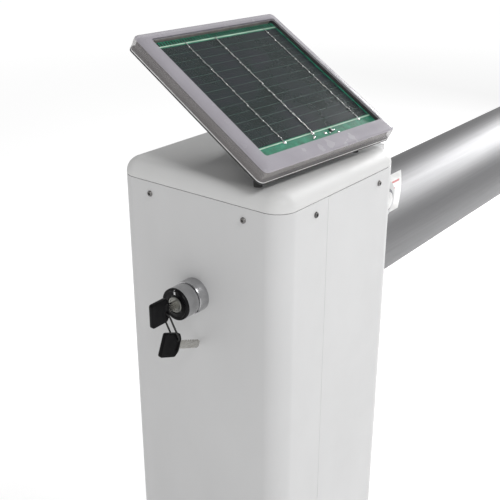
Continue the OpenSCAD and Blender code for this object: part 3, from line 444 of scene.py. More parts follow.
def rear_body():
    """Back half of the column, with the gear's slot cut out of the middle of its back wall."""
    b = Build()
    z_slot = PIVOT_Z - 56
    strip(b, rear_path(0, SEAM_Y), rear_path(WALL, SEAM_Y), BASE_T, z_slot, rows=5)
    for s in (-1, 1):
        h, r, hi, ri = HALF, CORNER, HALF - WALL, CORNER - WALL
        outer = [(s * 12, h)] + [(s * x, y) for x, y in arc(h - r, h - r, r, 90, 0, 14)] + [(s * h, SEAM_Y)]
        inner = [(s * 12, hi)] + [(s * x, y) for x, y in arc(hi - ri, hi - ri, ri, 90, 0, 14)] + [(s * hi, SEAM_Y)]
        strip(b, outer, inner, z_slot, JOINT_Z - 3)
    # above the slot the sheet goes right across, with its top edge rolled over
    outer = [(0.0, JOINT_Z - 3), (0.0, JOINT_Z - 1.3), (0.25, JOINT_Z - 0.6), (0.8, JOINT_Z - 0.15),
             (1.3, JOINT_Z)]
    inner = [(WALL, JOINT_Z), (WALL, JOINT_Z - 3)]
    section = outer + inner
    paths = [at_z(rear_path(i, SEAM_Y), z) for i, z in section]
    k = len(paths[0])
    verts = [p for path in paths for p in path]
    n = len(paths)
    faces = [(a * k + i, a * k + i + 1, ((a + 1) % n) * k + i + 1, ((a + 1) % n) * k + i)
             for a in range(n) for i in range(k - 1)]
    faces += [tuple(a * k for a in range(n)), tuple(a * k + k - 1 for a in reversed(range(n)))]
    b.add(verts, faces)
    for s in (-1, 1):
        inner = HALF - WALL
        x = sorted((s * (inner - 2.4), s * (inner - 0.3)))
        b.box(x[0], x[1], SEAM_Y - 12, SEAM_Y + 14, BASE_T, JOINT_Z - 26)
    b.piece("rear_body_sheet", "column", [PAINT], ["rear_body"], bevel=0.15)


def lid():
    b = Build()
    n = 14
    steps = 10
    z_low = JOINT_Z + 0.55
    thick = 3.0
    bend = LID_EDGE - thick
    # the underside follows the rounded edge at a constant thickness
    loops = []
    for i in range(steps + 1):
        a = math.pi / 2 * (1 - i / steps)
        loops.append(at_z(column(thick + bend * (1 - math.cos(a)), n),
                          LID_TOP - LID_EDGE + bend * math.sin(a)))
    loops += [at_z(column(thick, n), z_low), at_z(column(0.5, n), z_low),
              at_z(column(0, n), z_low + 0.5)]
    for i in range(steps + 1):
        a = math.pi / 2 * i / steps
        loops.append(at_z(column(LID_EDGE * (1 - math.cos(a)), n),
                          LID_TOP - LID_EDGE + LID_EDGE * math.sin(a)))
    b.loft(loops)
    b.lathe([(LID_TOP - 9, 6.3), (LID_TOP - 9, 16), (LID_TOP - 3, 16), (LID_TOP - 3, 6.3)], 48,
            place=Matrix.Translation((0, 3, 0)), closed=True)
    b.piece("lid_cap", "column", [PAINT_LID], ["lid"], angle=50)

    k = Build()
    o, i = WALL + 0.3, WALL + 2.5
    z0 = JOINT_Z - 22
    k.ring([at_z(column(o), SCREW_Z + 2.3), at_z(column(o), JOINT_Z + 4),
            at_z(column(i), JOINT_Z + 4), at_z(column(i), SCREW_Z + 2.3)])
    for z_low, z_high, y_end in ((SCREW_Z - 2.3, SCREW_Z + 2.3, SIDE_FRONT),
                                 (z0, SCREW_Z - 2.3, -60)):
        for s in (-1, 1):
            def half(ins):
                h, r = HALF - ins, CORNER - ins
                return ([(s * 13, h)] + [(s * x, y) for x, y in arc(h - r, h - r, r, 90, 0, 14)]
                        + [(s * h, y_end)])
            strip(k, half(o), half(i), z_low, z_high)
    strip(k, front_path(o, -60), front_path(i, -60), z0, SCREW_Z - 2.3)
    y = -HALF + o
    k.box(-76, 76, y, y + 2.2, SCREW_Z - 2.3, SCREW_Z + 2.3)
    k.piece("lid_skirt", "column", [PAINT_LID])

    g = Build()
    g.ring([at_z(column(0.6), JOINT_Z), at_z(column(0.6), JOINT_Z + 1),
            at_z(column(WALL), JOINT_Z + 1), at_z(column(WALL), JOINT_Z)])
    g.piece("lid_seal", "column", [SEAL], ["lid_gasket"])


def socket_screw(b, place, r=3.6, h=1.6, socket=1.5, slot=0):
    """Low round head with a recess."""
    n = 24
    loops = [[(q * math.cos(2 * math.pi * i / n), q * math.sin(2 * math.pi * i / n), z)
              for i in range(n)]
             for q, z in ((0.2, 0), (r, 0), (r, 0.35 * h), (r * 0.93, 0.72 * h), (r * 0.76, h),
                          (socket * 1.22, h))]
    hexagon = []
    for i in range(n):
        a = 2 * math.pi * i / n
        rr = socket / math.cos((a + math.pi / 6) % (math.pi / 3) - math.pi / 6)
        hexagon.append((rr * math.cos(a), rr * math.sin(a)))
    loops.append([(x, y, h - 0.1) for x, y in hexagon])
    loops.append([(x, y, 0.3 * h) for x, y in hexagon])
    b.loft(loops, slot, place)


def facing(pos, direction):
    """Matrix that stands local +Z along a direction at pos (mm)."""
    z = Vector(direction).normalized()
    return Matrix.Translation(Vector(pos)) @ z.to_track_quat("Z", "Y").to_matrix().to_4x4()


def shell_screws():
    shank = [(-7.6, 0.2), (-7.6, 1.6), (-7, 2.0), (0.1, 2.0)]
    for name, body, node, spots in (
            ("cover_screw_heads", "cover", "cover_screws",
             [((s * HALF, SIDE_FRONT, SCREW_Z), (s, 0, 0)) for s in (-1, 1)]
             + [((s * SCREW_X, -HALF, SCREW_Z), (0, -1, 0)) for s in (-1, 1)]),
            ("body_screw_heads", "column", "lid_screws",
             [((s * HALF, SIDE_REAR, SCREW_Z), (s, 0, 0)) for s in (-1, 1)]
             + [((s * SCREW_X, HALF, SCREW_Z), (0, 1, 0)) for s in (-1, 1)])):
        b = Build()
        for pos, d in spots:
            socket_screw(b, facing(pos, d), 2.9, 1.5, 1.2)
            b.lathe(shank, 20, place=facing(pos, d))
        b.piece(name, body, [DARK_SCREW], [node], angle=40)


# ---------------------------------------------------------------- boom
def boom():
    along = facing((0, BOOM_Y, BOOM_Z), (0, 1, 0))
    b = Build()
    r, t, e = BOOM_R, BOOM_T, 0.5
    profile = [(0, r - t + e), (0, r - e), (e, r)]
    profile += [(BOOM_LEN * i / 24, r) for i in range(1, 24)]
    profile += [(BOOM_LEN - e, r), (BOOM_LEN, r - e), (BOOM_LEN, r - t + e), (BOOM_LEN - e, r - t),
                (e, r - t)]
    b.lathe(profile, 128, place=along, closed=True)
    tube = b.piece("boom_tube_skin", "boom", [ALU], ["boom_tube"], angle=40)
    w, depth, low = NOTCH
    slot = Build().prism([(-w, low), (w, low), (w, r + 5), (-w, r + 5)], BOOM_Y - 5, BOOM_Y + depth)
    cut(tube, slot, Matrix(((1, 0, 0, 0), (0, 0, 1, 0), (0, 1, 0, BOOM_Z), (0, 0, 0, 1))))

    c = Build()
    end = facing((0, BOOM_Y + BOOM_LEN, BOOM_Z), (0, 1, 0))
    c.lathe([(-25, r - t - 3), (-25, r - t - 0.4), (0, r - t - 0.4), (0, r), (2.4, r), (3.4, r - 0.7),
             (4, r - 2.2), (4, r - 14), (3.2, r - 15), (3.2, 8), (3.6, 7), (3.6, 0.3), (0.4, 0.3),
             (0.4, r - t - 3)],
            96, place=end, closed=True)
    c.piece("boom_end_cap_moulding", "boom", [BLACK], ["boom_end_cap"], angle=30)


def boom_label():
    """Plain printed label wrapped on the tube's side, just behind the column."""
    b = Build()
    r = BOOM_R
    y0, y1, a0, a1, n = LABEL
    rows = [math.radians(a0 + (a1 - a0) * i / n) for i in range(n + 1)]
    # underside and top above the tube, slot, part of the length, rows: the film, then two bars
    parts = ((0.03, 0.12, 0, 0, 1, 0, n),
             (0.12, 0.16, 1, 0.1, 0.9, n - 5, n - 4),
             (0.12, 0.16, 1, 0.1, 0.7, n - 8, n - 7))
    for low, high, mat, u0, u1, v0, v1 in parts:
        ya, yb = y0 + (y1 - y0) * u0, y0 + (y1 - y0) * u1
        loops = []
        for rad, y in ((r + low, ya), (r + high, ya), (r + high, yb), (r + low, yb)):
            loops.append([(rad * math.cos(t), y + LABEL_SKEW * (t - rows[0]),
                           BOOM_Z + rad * math.sin(t)) for t in rows[v0:v1 + 1]])
        k = len(loops[0])
        faces = [(a * k + i, a * k + i + 1, ((a + 1) % 4) * k + i + 1, ((a + 1) % 4) * k + i)
                 for a in range(4) for i in range(k - 1)]
        faces += [tuple(a * k for a in range(4)), tuple(a * k + k - 1 for a in reversed(range(4)))]
        b.add([q for loop in loops for q in loop], faces, mat)
    b.piece("boom_label", "boom", [LABEL_WHITE, LABEL_RED], [], bevel=0)


# ---------------------------------------------------------------- lock and keys
LOCK_AXIS = facing(LOCK, (0, -1, 0))


def lock():
    b = Build()
    b.lathe([(0, 11.2), (0, RING_R), (RING_L - 1.4, RING_R), (RING_L - 0.5, RING_R - 0.4),
             (RING_L - 0.2, RING_R - 1.2), (RING_L - 0.2, 11.2)], 96, place=LOCK_AXIS, closed=True)
    b.piece("lock_ring_chrome", "cover", [CHROME], ["lock_ring"], angle=30)

    c = Build()
    z0, z1 = RING_L, RING_L + BARREL_L
    c.lathe([(-20, PLUG_R + 0.2), (-20, 10.2), (-19, 10.9), (z0 + 0.2, 10.9), (z0 + 0.2, BARREL_R - 1.2),
             (z0 + 0.7, BARREL_R - 0.3), (z0 + 1.5, BARREL_R), (z1, BARREL_R), (z1, PLUG_R + 0.2)],
            96, place=LOCK_AXIS, closed=True)
    c.piece("lock_barrel_chrome", "cover", [CHROME], ["lock_barrel"], angle=30)

    d = Build()
    z2 = z1 + FACE_L
    d.lathe([(z1, PLUG_R + 1), (z1, BARREL_R), (z2 - 0.9, BARREL_R), (z2 - 0.25, BARREL_R - 0.35),
             (z2, BARREL_R - 1.0), (z2, BARREL_R - 2.2), (z2 - 0.5, BARREL_R - 2.9),
             (z2 - 0.5, PLUG_R + 2.2), (z2 - 0.2, PLUG_R + 1.6), (z2 - 0.2, PLUG_R + 1)],
            96, place=LOCK_AXIS, closed=True)
    d.piece("lock_face_disc", "cover", [FACE_BLACK], ["lock_face"], angle=30)

    w = Build()
    w.loft([[(-0.9, PLUG_R + 2.3, z2 - 0.6), (0.9, PLUG_R + 2.3, z2 - 0.6),
             (0.9, BARREL_R - 0.6, z2 - 0.6), (-0.9, BARREL_R - 0.6, z2 - 0.6)],
            [(-0.9, PLUG_R + 2.3, z2 - 0.05), (0.9, PLUG_R + 2.3, z2 - 0.05),
             (0.9, BARREL_R - 0.6, z2 - 0.05), (-0.9, BARREL_R - 0.6, z2 - 0.05)]], place=LOCK_AXIS)
    w.piece("lock_index_mark", "cover", [WHITE], bevel=0.12)

    p = Build()
    p.lathe([(-22, 0.3), (-22, PLUG_R), (29.2, PLUG_R), (29.7, PLUG_R - 0.4), (30, PLUG_R - 1.0),
             (30, PLUG_R - 1.9), (29.5, PLUG_R - 2.3), (29.5, 0.3)], 72, place=LOCK_AXIS)
    p.box(LOCK.x - 3, LOCK.x + 3, LOCK.y + 21, LOCK.y + 44, LOCK.z - 3, LOCK.z + 3)
    p.piece("lock_plug_turned", "plug", [PLUG_METAL], ["lock_plug"], angle=30)


def key_outline():
    """Head's outline in its own plane: (along the blade, up)."""
    h, l = HEAD_H / 2, HEAD_L
    pts = []
    corners = [((0, -6.4), 1.2), ((0, 6.4), 1.2), ((-3.4, h), 2.0), ((-l, h), 2.6), ((-l, -h), 2.6),
               ((-3.4, -h), 2.0)]
    n = len(corners)
    for i in range(n):
        (x, y), r = corners[i]
        a = Vector((corners[i - 1][0][0] - x, corners[i - 1][0][1] - y)).normalized()
        c = Vector((corners[(i + 1) % n][0][0] - x, corners[(i + 1) % n][0][1] - y)).normalized()
        for k in range(6):
            t = k / 5
            q = (1 - t) ** 2 * a * r + t * t * c * r
            pts.append((x + q.x, y + q.y))
    return pts


def key_head(name, place, body, node):
    """Moulded head: rounded edges and the slit for the loop."""
    b = Build()
    outline = key_outline()
    slit = round_rect(3.4, 12.6, 1.6, 6, -4.0, 0)[::1]
    t = HEAD_T / 2
    turn = Matrix(((0, 0, 1, 0), (1, 0, 0, 0), (0, 1, 0, 0), (0, 0, 0, 1)))
    mesh = bpy.data.meshes.new(name)
    bm = bmesh.new()

    def loop(points, inset, x):
        c = Vector((sum(p[0] for p in points) / len(points), sum(p[1] for p in points) / len(points)))
        vs = []
        m = len(points)
        for i in range(m):
            a, p, q = (Vector(points[i - 1]), Vector(points[i]), Vector(points[(i + 1) % m]))
            d = (q - a)
            nrm = Vector((d.y, -d.x))
            if nrm.length > 1e-9:
                nrm.normalize()
            if nrm.dot(p - c) > 0:
                nrm.negate()
            w = p + nrm * inset
            vs.append(bm.verts.new(place @ turn @ Vector((w.x, w.y, x)) * MM))
        return vs

    def join(a, c):
        m = len(a)
        for i in range(m):
            bm.faces.new((a[i], a[(i + 1) % m], c[(i + 1) % m], c[i]))

    for s in (-1, 1):
        e0 = loop(outline, 0.0, s * (t - 1.0))
        e1 = loop(outline, 0.25, s * (t - 0.45))
        e2 = loop(outline, 0.75, s * (t - 0.1))
        e3 = loop(outline, 1.3, s * t)
        join(e0, e1), join(e1, e2), join(e2, e3)
        s3 = loop(slit, -0.4, s * t)
        s2 = loop(slit, 0.0, s * (t - 0.4))
        edges = []
        for ring in (e3, s3):
            m = len(ring)
            for i in range(m):
                e = bm.edges.get((ring[i], ring[(i + 1) % m])) or bm.edges.new((ring[i], ring[(i + 1) % m]))
                edges.append(e)
        bmesh.ops.triangle_fill(bm, use_beauty=True, use_dissolve=False, edges=edges)
        join(s3, s2)
        if s < 0:
            first, first_slit = e0, s2
        else:
            join(first, e0)
            join(first_slit, s2)
    bmesh.ops.recalc_face_normals(bm, faces=bm.faces)
    bm.to_mesh(mesh)
    bm.free()
    mesh.materials.append(KEY_BLACK)
    obj = bpy.data.objects.new(name, mesh)
    bpy.context.scene.collection.objects.link(obj)
    finish_surface(obj, 0, 40)
    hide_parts(node)
    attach(obj, body)
    # outline of a raised pad on both sides of the head; it is never made into a piece, so no pad is drawn
    for s in (-1, 1):
        pad = Build()
        o0 = round_rect(11.5, 15.5, 2.5, 5, -14.2, 0)
        o1 = round_rect(10.5, 14.5, 2.2, 5, -14.2, 0)
        z = sorted((s * (t - 0.3), s * (t + 0.0)))
        pad.loft([[(x, y, z[0]) for x, y in (o0 if s > 0 else o1)],
                  [(x, y, z[1]) for x, y in (o1 if s > 0 else o0)]], place=place @ turn)
    return obj


def key_blade(name, place, body, node, tip=19.5):
    """Steel blade with cuts along its top and a bevelled tip. Front of the keyway at 0."""
    b = Build()
    top = [(-10, 4)]
    for i in range(5):
        y = 2.5 + i * 3.2
        depth = 0.8 + (i * 7 % 3) * 0.5
        top += [(y - 0.3, 4), (y + 0.4, 4 - depth), (y + 1.2, 4 - depth), (y + 1.9, 4)]
    top += [(tip - 2.4, 4)]
    nose = [(tip - 0.8, 3.2), (tip, 2.0), (tip, -2.0), (tip - 0.8, -3.2)]
    bottom = [(tip - 2.4, -4), (-10, -4)]
    outline = top + nose + bottom
    b.loft([[(x, y, z) for y, z in outline] for x in (-1.1, 1.1)], place=place)
    b.piece(name, body, [KEY_STEEL], [node], bevel=0.22, angle=30)


def keys():
    at_lock = Matrix.Translation((LOCK.x, HEAD_Y, LOCK.z))
    key_head("key_head_moulding", at_lock, "key", "key_head")
    key_blade("key_blade_steel", Matrix.Translation((LOCK.x, PLUG_Y, LOCK.z)), "key", "key_blade")
    slit_y = HEAD_Y - 4
    top = Vector((LOCK.x, slit_y, LOCK.z - 4.2))
    end = Vector((LOCK.x + 2.3, slit_y + 11.6, LOCK.z - 36.6))
    hang = (Matrix.Translation(end) @ Matrix.Rotation(math.radians(-4), 4, "Z")
            @ Matrix.Rotation(math.radians(-20.5), 4, "X") @ Matrix.Translation((0, 4, -4.2)))
    key_head("spare_key_head_moulding", hang, "spare_key", "spare_key_head")
    key_blade("spare_key_blade_steel", hang @ Matrix.Translation((0, 8.5, 0)), "spare_key",
              "spare_key_blade")
    up = (top - end).normalized()
    side = up.cross(Vector((0, -1, 0.1))).normalized()
    pts = []
    for i in range(48):
        a = 2 * math.pi * i / 48
        base = (top - 4.5 * up) if math.sin(a) >= 0 else (end + 4.5 * up)
        pts.append(base + 4.5 * (math.cos(a) * side + math.sin(a) * up))
    b = Build()
    b.tube(pts, 0.9, 12, closed=True)
    b.piece("key_loop_cord", "spare_key", [RUBBER], ["key_loop"], angle=60)


# ---------------------------------------------------------------- solar panel
CELL_U0, CELL_U1, CELL_V0, CELL_V1, ROWS = -77.0, 65.5, -79.0, 87.0, 13
BOARD_U0, BOARD_U1, BOARD_V0, BOARD_V1 = -86.0, 79.0, -81.0, 90.0
RIBBONS = (-42.4, -2.0, 70.0)


def clear(name, color, alpha, rough=0.12, spec=0.5):
    m = Mat(name, color, rough)
    m.p.inputs["Alpha"].default_value = alpha
    m.p.inputs["Specular IOR Level"].default_value = spec
    m.color_from(m.noise(28, 4), "Fac", [(0.3, tuple(c * 0.88 for c in color)), (0.7, color)])
    m.rough_from(m.noise(60, 3), "Fac", max(0.03, rough - 0.05), rough + 0.1)
    m.bump(m.noise(45, 2), "Fac", 0.0003, 0.25)
    return m.mat


def cell_material():
    """Dark silicon: fine grid fingers up the slope, greenish and violet drifts, and a clear coat."""
    m = Mat("solar_silicon", (0.012, 0.028, 0.030), 0.28)
    m.p.inputs["Coat Weight"].default_value = 0.15
    m.p.inputs["Coat Roughness"].default_value = 0.14
    m.p.inputs["Specular IOR Level"].default_value = 0.25
    inverse = PANEL.inverted().to_euler()
    local = m.coords((1, 1, 1), tuple(inverse))
    drift = m.node("ShaderNodeTexNoise", Scale=26.0, Detail=5.0, Roughness=0.6)
    m.link(local, "Vector", drift, "Vector")
    tone = m.ramp(drift, "Fac", [(0.28, (0.002, 0.008, 0.006)), (0.45, (0.004, 0.013, 0.012)),
                                 (0.60, (0.006, 0.009, 0.014)), (0.78, (0.012, 0.013, 0.020))])
    wave = m.node("ShaderNodeTexWave", Scale=105.0, Distortion=0.25, Detail=1.0)
    wave.bands_direction = "Y"
    m.link(local, "Vector", wave, "Vector")
    lines = m.ramp(wave, "Fac", [(0.80, (0, 0, 0)), (0.97, (1, 1, 1))])
    cell = mix_rgb(m, "ADD", (lines, "Color"), (tone, "Color"), (0.010, 0.016, 0.014))
    m.t.links.new(cell.outputs[2], m.p.inputs["Base Color"])
    m.rough_from(drift, "Fac", 0.22, 0.36)
    return m.mat


def board_material():
    m = Mat("green_solder_mask", (0.005, 0.16, 0.085), 0.32)
    m.p.inputs["Coat Weight"].default_value = 0.3
    m.p.inputs["Coat Roughness"].default_value = 0.2
    m.color_from(m.noise(140, 5), "Fac", [(0.30, (0.003, 0.105, 0.055)), (0.55, (0.006, 0.19, 0.105)),
                                          (0.75, (0.012, 0.26, 0.15))])
    m.bump(m.noise(600, 2), "Fac", 0.00004, 0.5)
    return m.mat


CELL = cell_material()
BOARD = board_material()
PALE_LINE = plastic("tinned_copper_line", (0.42, 0.58, 0.46), 0.35)
ROW_LINE = plastic("cell_gap_line", (0.040, 0.080, 0.066), 0.4)
RIBBON = drawn_metal("tinned_ribbon", (0.55, 0.58, 0.56), (0.85, 0.86, 0.84), 0.25, (1, 1, 1), 500)
DARK_PART = plastic("dark_component", (0.02, 0.025, 0.022), 0.35)
WINDOW = clear("clear_housing_window", (0.60, 0.60, 0.68), 0.008, 0.06, 0.2)
BORDER = clear("frosted_housing_rim", (0.41, 0.39, 0.43), 0.86, 0.20)
SIDE_CLEAR = clear("housing_side", (0.36, 0.34, 0.34), 0.42, 0.10, 0.6)
# painted shade and painted light: the inner rails are one part coloured twice, dark along the near and far sides and
# warm grey at the low and high ends, for how light falls inside the housing
INNER_PAINTED_SHADE = plastic("inner_rail_painted_shade", (0.05, 0.045, 0.045), 0.45)
INNER_PAINTED_LIGHT = plastic("inner_rail_painted_light_grey", (0.50, 0.47, 0.44), 0.5)


def housing_outline(inset, n=8):
    return round_rect(PANEL_L - 2 * inset, PANEL_W - 2 * inset, 6 - min(inset, 3.5), n)


def panel_housing():
    """Clear housing in one mesh: side walls, frosted rim and clear window share its outer skin."""
    top, low = PANEL_T, TRAY_T
    b = Build()
    outer = [housing_outline(0.4), housing_outline(0), housing_outline(0), housing_outline(0.35),
             housing_outline(1.2), housing_outline(2.6)]
    zs = [low, low + 0.8, top - 4.2, top - 1.9, top - 0.6, top]
    for i in range(len(outer) - 1):
        b.loft([at_z(outer[i], zs[i]), at_z(outer[i + 1], zs[i + 1])], 0 if i < 3 else 1, PANEL,
               cap=False)
    window = round_rect(BOARD_U1 - BOARD_U0 + 1, BOARD_V1 - BOARD_V0 + 1, 3, 8,
                        (BOARD_U0 + BOARD_U1) / 2, (BOARD_V0 + BOARD_V1) / 2)
    b.loft([at_z(outer[-1], top), at_z(window, top)], 1, PANEL, cap=False)
    m = len(b.v)
    b.add(at_z(window, top), [tuple(range(len(window)))], 2, PANEL)
    # inside faces
    ins = [housing_outline(3.2), housing_outline(3.2)]
    b.loft([at_z(ins[0], low), at_z(ins[1], top - 2.4)], 0, PANEL, cap=False)
    b.loft([at_z(ins[1], top - 2.4), at_z(window, top - 2.4)], 1, PANEL, cap=False)
    b.add(at_z(window, top - 2.4), [tuple(range(len(window)))], 2, PANEL)
    b.loft([at_z(outer[0], low), at_z(ins[0], low)], 0, PANEL, cap=False)
    b.piece("panel_clear_housing", "panel", [SIDE_CLEAR, BORDER, WINDOW],
            ["panel_cover"], angle=50)


def panel_tray():
    b = Build()
    b.loft([at_z(round_rect(PANEL_L - 0.8, PANEL_W - 0.8, 5, 8), 0),
            at_z(round_rect(PANEL_L, PANEL_W, 5.4, 8), 0.4),
            at_z(round_rect(PANEL_L, PANEL_W, 5.4, 8), TRAY_T - 0.05),
            at_z(round_rect(PANEL_L - 0.6, PANEL_W - 0.6, 5.2, 8), TRAY_T)], 0, PANEL)
    b.piece("panel_tray_pressing", "panel", [BLACK], ["panel_tray"], angle=30)
    lip = Build()
    a, c = housing_outline(-0.0), housing_outline(0.5)
    lip.ring([at_z(a, TRAY_T + 0.05), at_z(a, TRAY_T + 0.75), at_z(c, TRAY_T + 0.75),
              at_z(c, TRAY_T + 0.05)], 0, PANEL)
    lip.piece("panel_bright_lip", "panel", [WHITE])


def panel_inside():
    z1 = BOARD_Z + BOARD_T
    rails = Build()
    w, l = PANEL_W / 2 - 4.2, PANEL_L / 2 - 4.2
    # the near and far side rails take the dark colour, which is painted shade
    rails.box(-l, l, -w, -w + 2, TRAY_T, 12.6, 0, PANEL)
    for u in (-55, -5, 50):
        rails.box(u - 5, u + 5, -w - 0.7, -w + 4, TRAY_T, 9.5, 0, PANEL)
    rails.box(-l, l, w - 2, w, TRAY_T, 12.6, 0, PANEL)
    rails.piece("panel_side_rails", "panel", [INNER_PAINTED_SHADE], bevel=0.4)
    ends = Build()
    # the end rails at the low and high edges take the warm grey, which is painted light; the inner floor below shares
    # it
    ends.box(l - 2, l, -w + 2.2, w - 2.2, TRAY_T, 12.8, 0, PANEL)
    ends.box(-l, -l + 2, -w + 2.2, w - 2.2, TRAY_T, 12.8, 0, PANEL)
    ends.piece("panel_end_rails", "panel", [INNER_PAINTED_LIGHT], bevel=0.4)
    floor = Build()
    floor.box(-l + 2.2, l - 2.2, -w + 4.2, w - 2.2, TRAY_T, BOARD_Z - 3, 0, PANEL)
    floor.piece("panel_inner_floor", "panel", [INNER_PAINTED_LIGHT], bevel=0.4)

    board = Build()
    board.box(BOARD_U0, BOARD_U1, BOARD_V0, BOARD_V1, BOARD_Z, z1, 0, PANEL)
    board.piece("solar_circuit_board", "panel", [BOARD], ["solar_board"], bevel=0.2)

    pitch = (CELL_U1 - CELL_U0) / ROWS
    cells = Build()
    for i in range(ROWS):
        u = CELL_U0 + i * pitch
        cells.box(u + 0.35, u + pitch - 0.35, CELL_V0, CELL_V1, z1, z1 + 0.4, 0, PANEL)
    cells.piece("solar_cell_strips", "panel", [CELL], ["solar_cells"], bevel=0.08)
    gaps = Build()
    for i in range(1, ROWS):
        u = CELL_U0 + i * pitch
        gaps.box(u - 0.32, u + 0.32, CELL_V0 + 0.5, CELL_V1 - 0.5, z1, z1 + 0.22, 0, PANEL)
    gaps.piece("cell_gap_lines", "panel", [ROW_LINE])

    lines = Build()
    lines.box(CELL_U0 - 2.6, CELL_U0 - 1.2, BOARD_V0 + 1, BOARD_V1 - 1, z1, z1 + 0.25, 0, PANEL)
    lines.box(CELL_U1 + 0.8, CELL_U1 + 2.0, BOARD_V0 + 1.5, BOARD_V1 - 1, z1, z1 + 0.25, 0, PANEL)
    lines.piece("board_bus_lines", "panel", [PALE_LINE])
    comb = Build()
    v = BOARD_V0 + 3
    while v < BOARD_V1 - 3:
        comb.box(BOARD_U0 + 1.2, CELL_U0 - 3.2, v, v + 1.5, z1, z1 + 0.3, 0, PANEL)
        v += 3.6
    comb.piece("board_contact_comb", "panel", [DARK_PART])

    wire = Build()
    for k, v0 in enumerate(RIBBONS):
        pts = []
        n = 60
        for i in range(n + 1):
            u = CELL_U0 - 2 + (CELL_U1 + 1.2 - CELL_U0 + 2) * i / n
            wob = 0.35 * math.sin(i * 0.9 + k) + 0.25 * math.sin(i * 2.3 + 2 * k)
            bead = 0.15 * (1 + math.sin(i * 1.7 + k * 2))
            pts.append(PANEL @ Vector((u, v0 + wob, z1 + 0.55 + bead)))
        wire.tube(pts, 0.62 if k == 1 else 0.48, 8)
    for k, v0 in enumerate(RIBBONS):
        for i in range(ROWS):
            u = CELL_U0 + (i + 0.5) * pitch + (0.8 if (i + k) % 2 else -0.6)
            place = PANEL @ Matrix.Translation((u, v0, z1 + 0.35))
            wire.lathe([(0, 0.95), (0.35, 0.85), (0.6, 0.5), (0.7, 0.1)], 10, place=place)
        place = PANEL @ Matrix.Translation((CELL_U1 + 2.2, v0, z1))
        wire.lathe([(0, 1.9), (0.5, 1.7), (0.9, 1.1), (1.0, 0.2)], 14, place=place)
    wire.piece("solar_ribbons", "panel", [RIBBON], angle=60)

    dots = Build()
    for u, v0, r in ((72.4, -4.4, 1.6), (71.6, 13.0, 1.9), (73.0, 18.5, 1.2), (71.0, 26.0, 1.5),
                     (75.2, 29.5, 1.4), (73.8, -7.0, 0.7)):
        dots.lathe([(0, r), (0.5, r * 0.9), (0.95, r * 0.5), (1.1, r * 0.1)], 16,
                   place=PANEL @ Matrix.Translation((u, v0, z1)))
    dots.piece("solder_dots", "panel", [RIBBON], angle=60)
    part = Build()
    part.loft([at_z(round_rect(4.6, 3.4, 1.2, 5, 70.6, 22), z1), at_z(round_rect(4.6, 3.4, 1.2, 5, 70.6, 22), z1 + 1.2),
               at_z(round_rect(3.8, 2.6, 1.0, 5, 70.6, 22), z1 + 1.5)], 0, PANEL)
    part.piece("board_component", "panel", [DARK_PART], angle=40)


# ---------------------------------------------------------------- springs
def springs():
    for s, name, node in ((-1, "balance_spring_left", "torsion_spring_left"),
                          (1, "balance_spring_right", "torsion_spring_right")):
        r, wire, turns, pitch, x0 = 16.0, 2.4, 4.25, 5.5, 33.5
        n = 40 * 4
        coil = []
        for i in range(n + 1):
            a = math.radians(90 - 360 * turns * i / n)
            coil.append((s * (x0 + pitch * turns * (1 - i / n)),
                         PIVOT_Y + r * math.cos(a), PIVOT_Z + r * math.sin(a)))
        first, last = coil[0], coil[-1]
        lead = [(first[0], first[1] - (first[1] - 106 - wire) * k / 4, first[2]) for k in (4, 3, 2, 1)]
        tail = [(last[0], last[1], last[2] - 10 * k / 4) for k in (1, 2, 3, 4)]
        b = Build()
        b.tube(lead + coil + tail, wire, 16)
        obj = b.piece(name, None, [SPRING], [node], angle=60)
        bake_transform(obj)


# ---------------------------------------------------------------- carried-over CAD nodes
CARRIED = {
    "base_plate": (ZINC, 0.8), "pivot_bracket": (PAINT, 0.8), "pivot_cover": (PAINT, 0.6),
    "pivot_bracket_bolts": (FASTENER, 0.3), "pivot_shaft": (BRIGHT, 0.5), "shaft_clips": (SPRING, 0.2),
    "stop_buffers": (RUBBER, 0.6), "chassis_plate": (ZINC, 0.4), "chassis_screws": (FASTENER, 0.25),
    "gearbox_housing": (CAST, 0.8), "gearbox_cover": (CAST, 0.6), "gearbox_screws": (FASTENER, 0.25),
    "motor_can": (MOTOR, 0.5), "motor_end_cap": (BLACK, 0.5), "bearing_block": (CAST, 0.6),
    "limit_switches": (BLACK, 0.25), "battery_tray": (ZINC, 0.4), "battery": (BATTERY, 1.0),
    "controller_box": (GREY_PLASTIC, 1.2), "controller_cover": (GREY_PLASTIC, 1.0),
    "release_bracket": (ZINC, 0.4), "boom_hub": (ZINC, 0.8), "boom_gear": (GEAR, 0.25),
    "boom_gear_bolts": (FASTENER, 0.3), "pivot_bushes": (BRONZE, 0.3), "boom_screws": (FASTENER, 0.3),
    "output_shaft": (BRIGHT, 0.4), "output_pinion": (GEAR, 0.25), "lock_nut": (FASTENER, 0.4),
    "release_shaft": (BRIGHT, 0.4), "clutch_lever": (GEAR, 0.5), "swivel_yoke": (ZINC, 0.4),
    "swivel_bolt": (FASTENER, 0.3), "panel_bracket": (ZINC, 0.3), "tilt_bolt": (BLACK, 0.5),
    "panel_feet": (RUBBER, 0.5),
}


def carried():
    for node, (mat, bevel) in CARRIED.items():
        obj = NODES[node]
        obj.data.materials.clear()
        obj.data.materials.append(mat)
        finish_surface(obj, bevel, 32)


# ---------------------------------------------------------------- stage
def area_light(name, pos, target, size, power, color=(1, 1, 1)):
    data = bpy.data.lights.new(name, "AREA")
    data.shape = "RECTANGLE"
    data.size, data.size_y = size
    data.energy = power
    data.color = color
    obj = bpy.data.objects.new(name, data)
    obj.location = pos
    direction = Vector(target) - Vector(pos)
    obj.rotation_euler = direction.to_track_quat("-Z", "Y").to_euler()
    bpy.context.scene.collection.objects.link(obj)


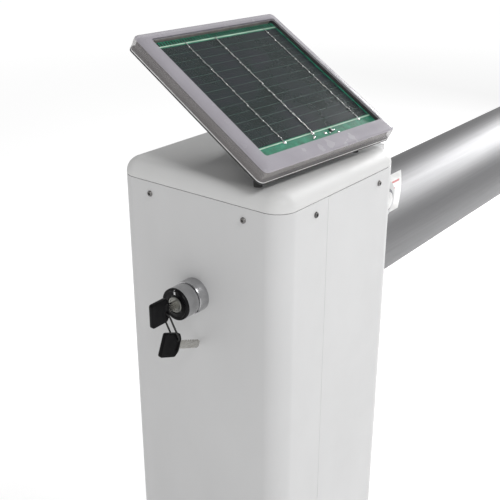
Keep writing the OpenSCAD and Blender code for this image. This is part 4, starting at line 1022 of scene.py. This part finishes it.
def studio():
    sc = bpy.context.scene
    sc.view_settings.view_transform = "Standard"
    world = bpy.data.worlds.new("studio")
    world.use_nodes = True
    world.node_tree.nodes["Background"].inputs["Color"].default_value = (1, 1, 1, 1)
    world.node_tree.nodes["Background"].inputs["Strength"].default_value = 0.42
    sc.world = world
    area_light("key_above", (2.0, -0.5, 3.3), (0, 0, 1.0), (0.8, 0.8), 40)
    area_light("front_right", (2.2, -2.4, 1.6), (0, 0, 0.85), (1.4, 1.4), 6)
    area_light("boom_rear", (0.35, 3.3, 2.15), (0, 0.6, 0.95), (1.5, 1.3), 92)
    mesh = bpy.data.meshes.new("floor")
    r = 40
    mesh.from_pydata([(-r, -r, 0), (r, -r, 0), (r, r, 0), (-r, r, 0)], [], [(0, 1, 2, 3)])
    m = Mat("pale_floor", (0.90, 0.90, 0.90), 0.9)
    m.p.inputs["Specular IOR Level"].default_value = 0.0
    m.p.inputs["Emission Color"].default_value = (1, 1, 1, 1)
    # a little brighter far away, so the floor stays white up to the horizon
    far = m.node("ShaderNodeMapRange")
    far.inputs["From Min"].default_value = 2.0
    far.inputs["From Max"].default_value = 7.0
    far.inputs["To Min"].default_value = 0.34
    far.inputs["To Max"].default_value = 0.64
    length = m.node("ShaderNodeVectorMath")
    length.operation = "LENGTH"
    m.link(m.coords((1, 1, 1)), "Vector", length, 0)
    m.link(length, "Value", far, "Value")
    m.link(far, "Result", m.p, "Emission Strength")
    mesh.materials.append(m.mat)
    floor = bpy.data.objects.new("floor", mesh)
    bpy.context.scene.collection.objects.link(floor)


def camera():
    data = bpy.data.cameras.new("camera")
    data.sensor_width = 36
    data.lens = 61.95
    data.clip_end = 60
    obj = bpy.data.objects.new("camera", data)
    obj.location = (0.4989, -0.6525, 1.2663)
    obj.rotation_euler = Vector((-0.5670, 0.7215, -0.3974)).to_track_quat("-Z", "Y").to_euler()
    bpy.context.scene.collection.objects.link(obj)
    bpy.context.scene.camera = obj


camera()
studio()
carried()
front_cover()
rear_body()
lid()
shell_screws()
boom()
boom_label()
lock()
keys()
panel_housing()
panel_tray()
panel_inside()
springs()
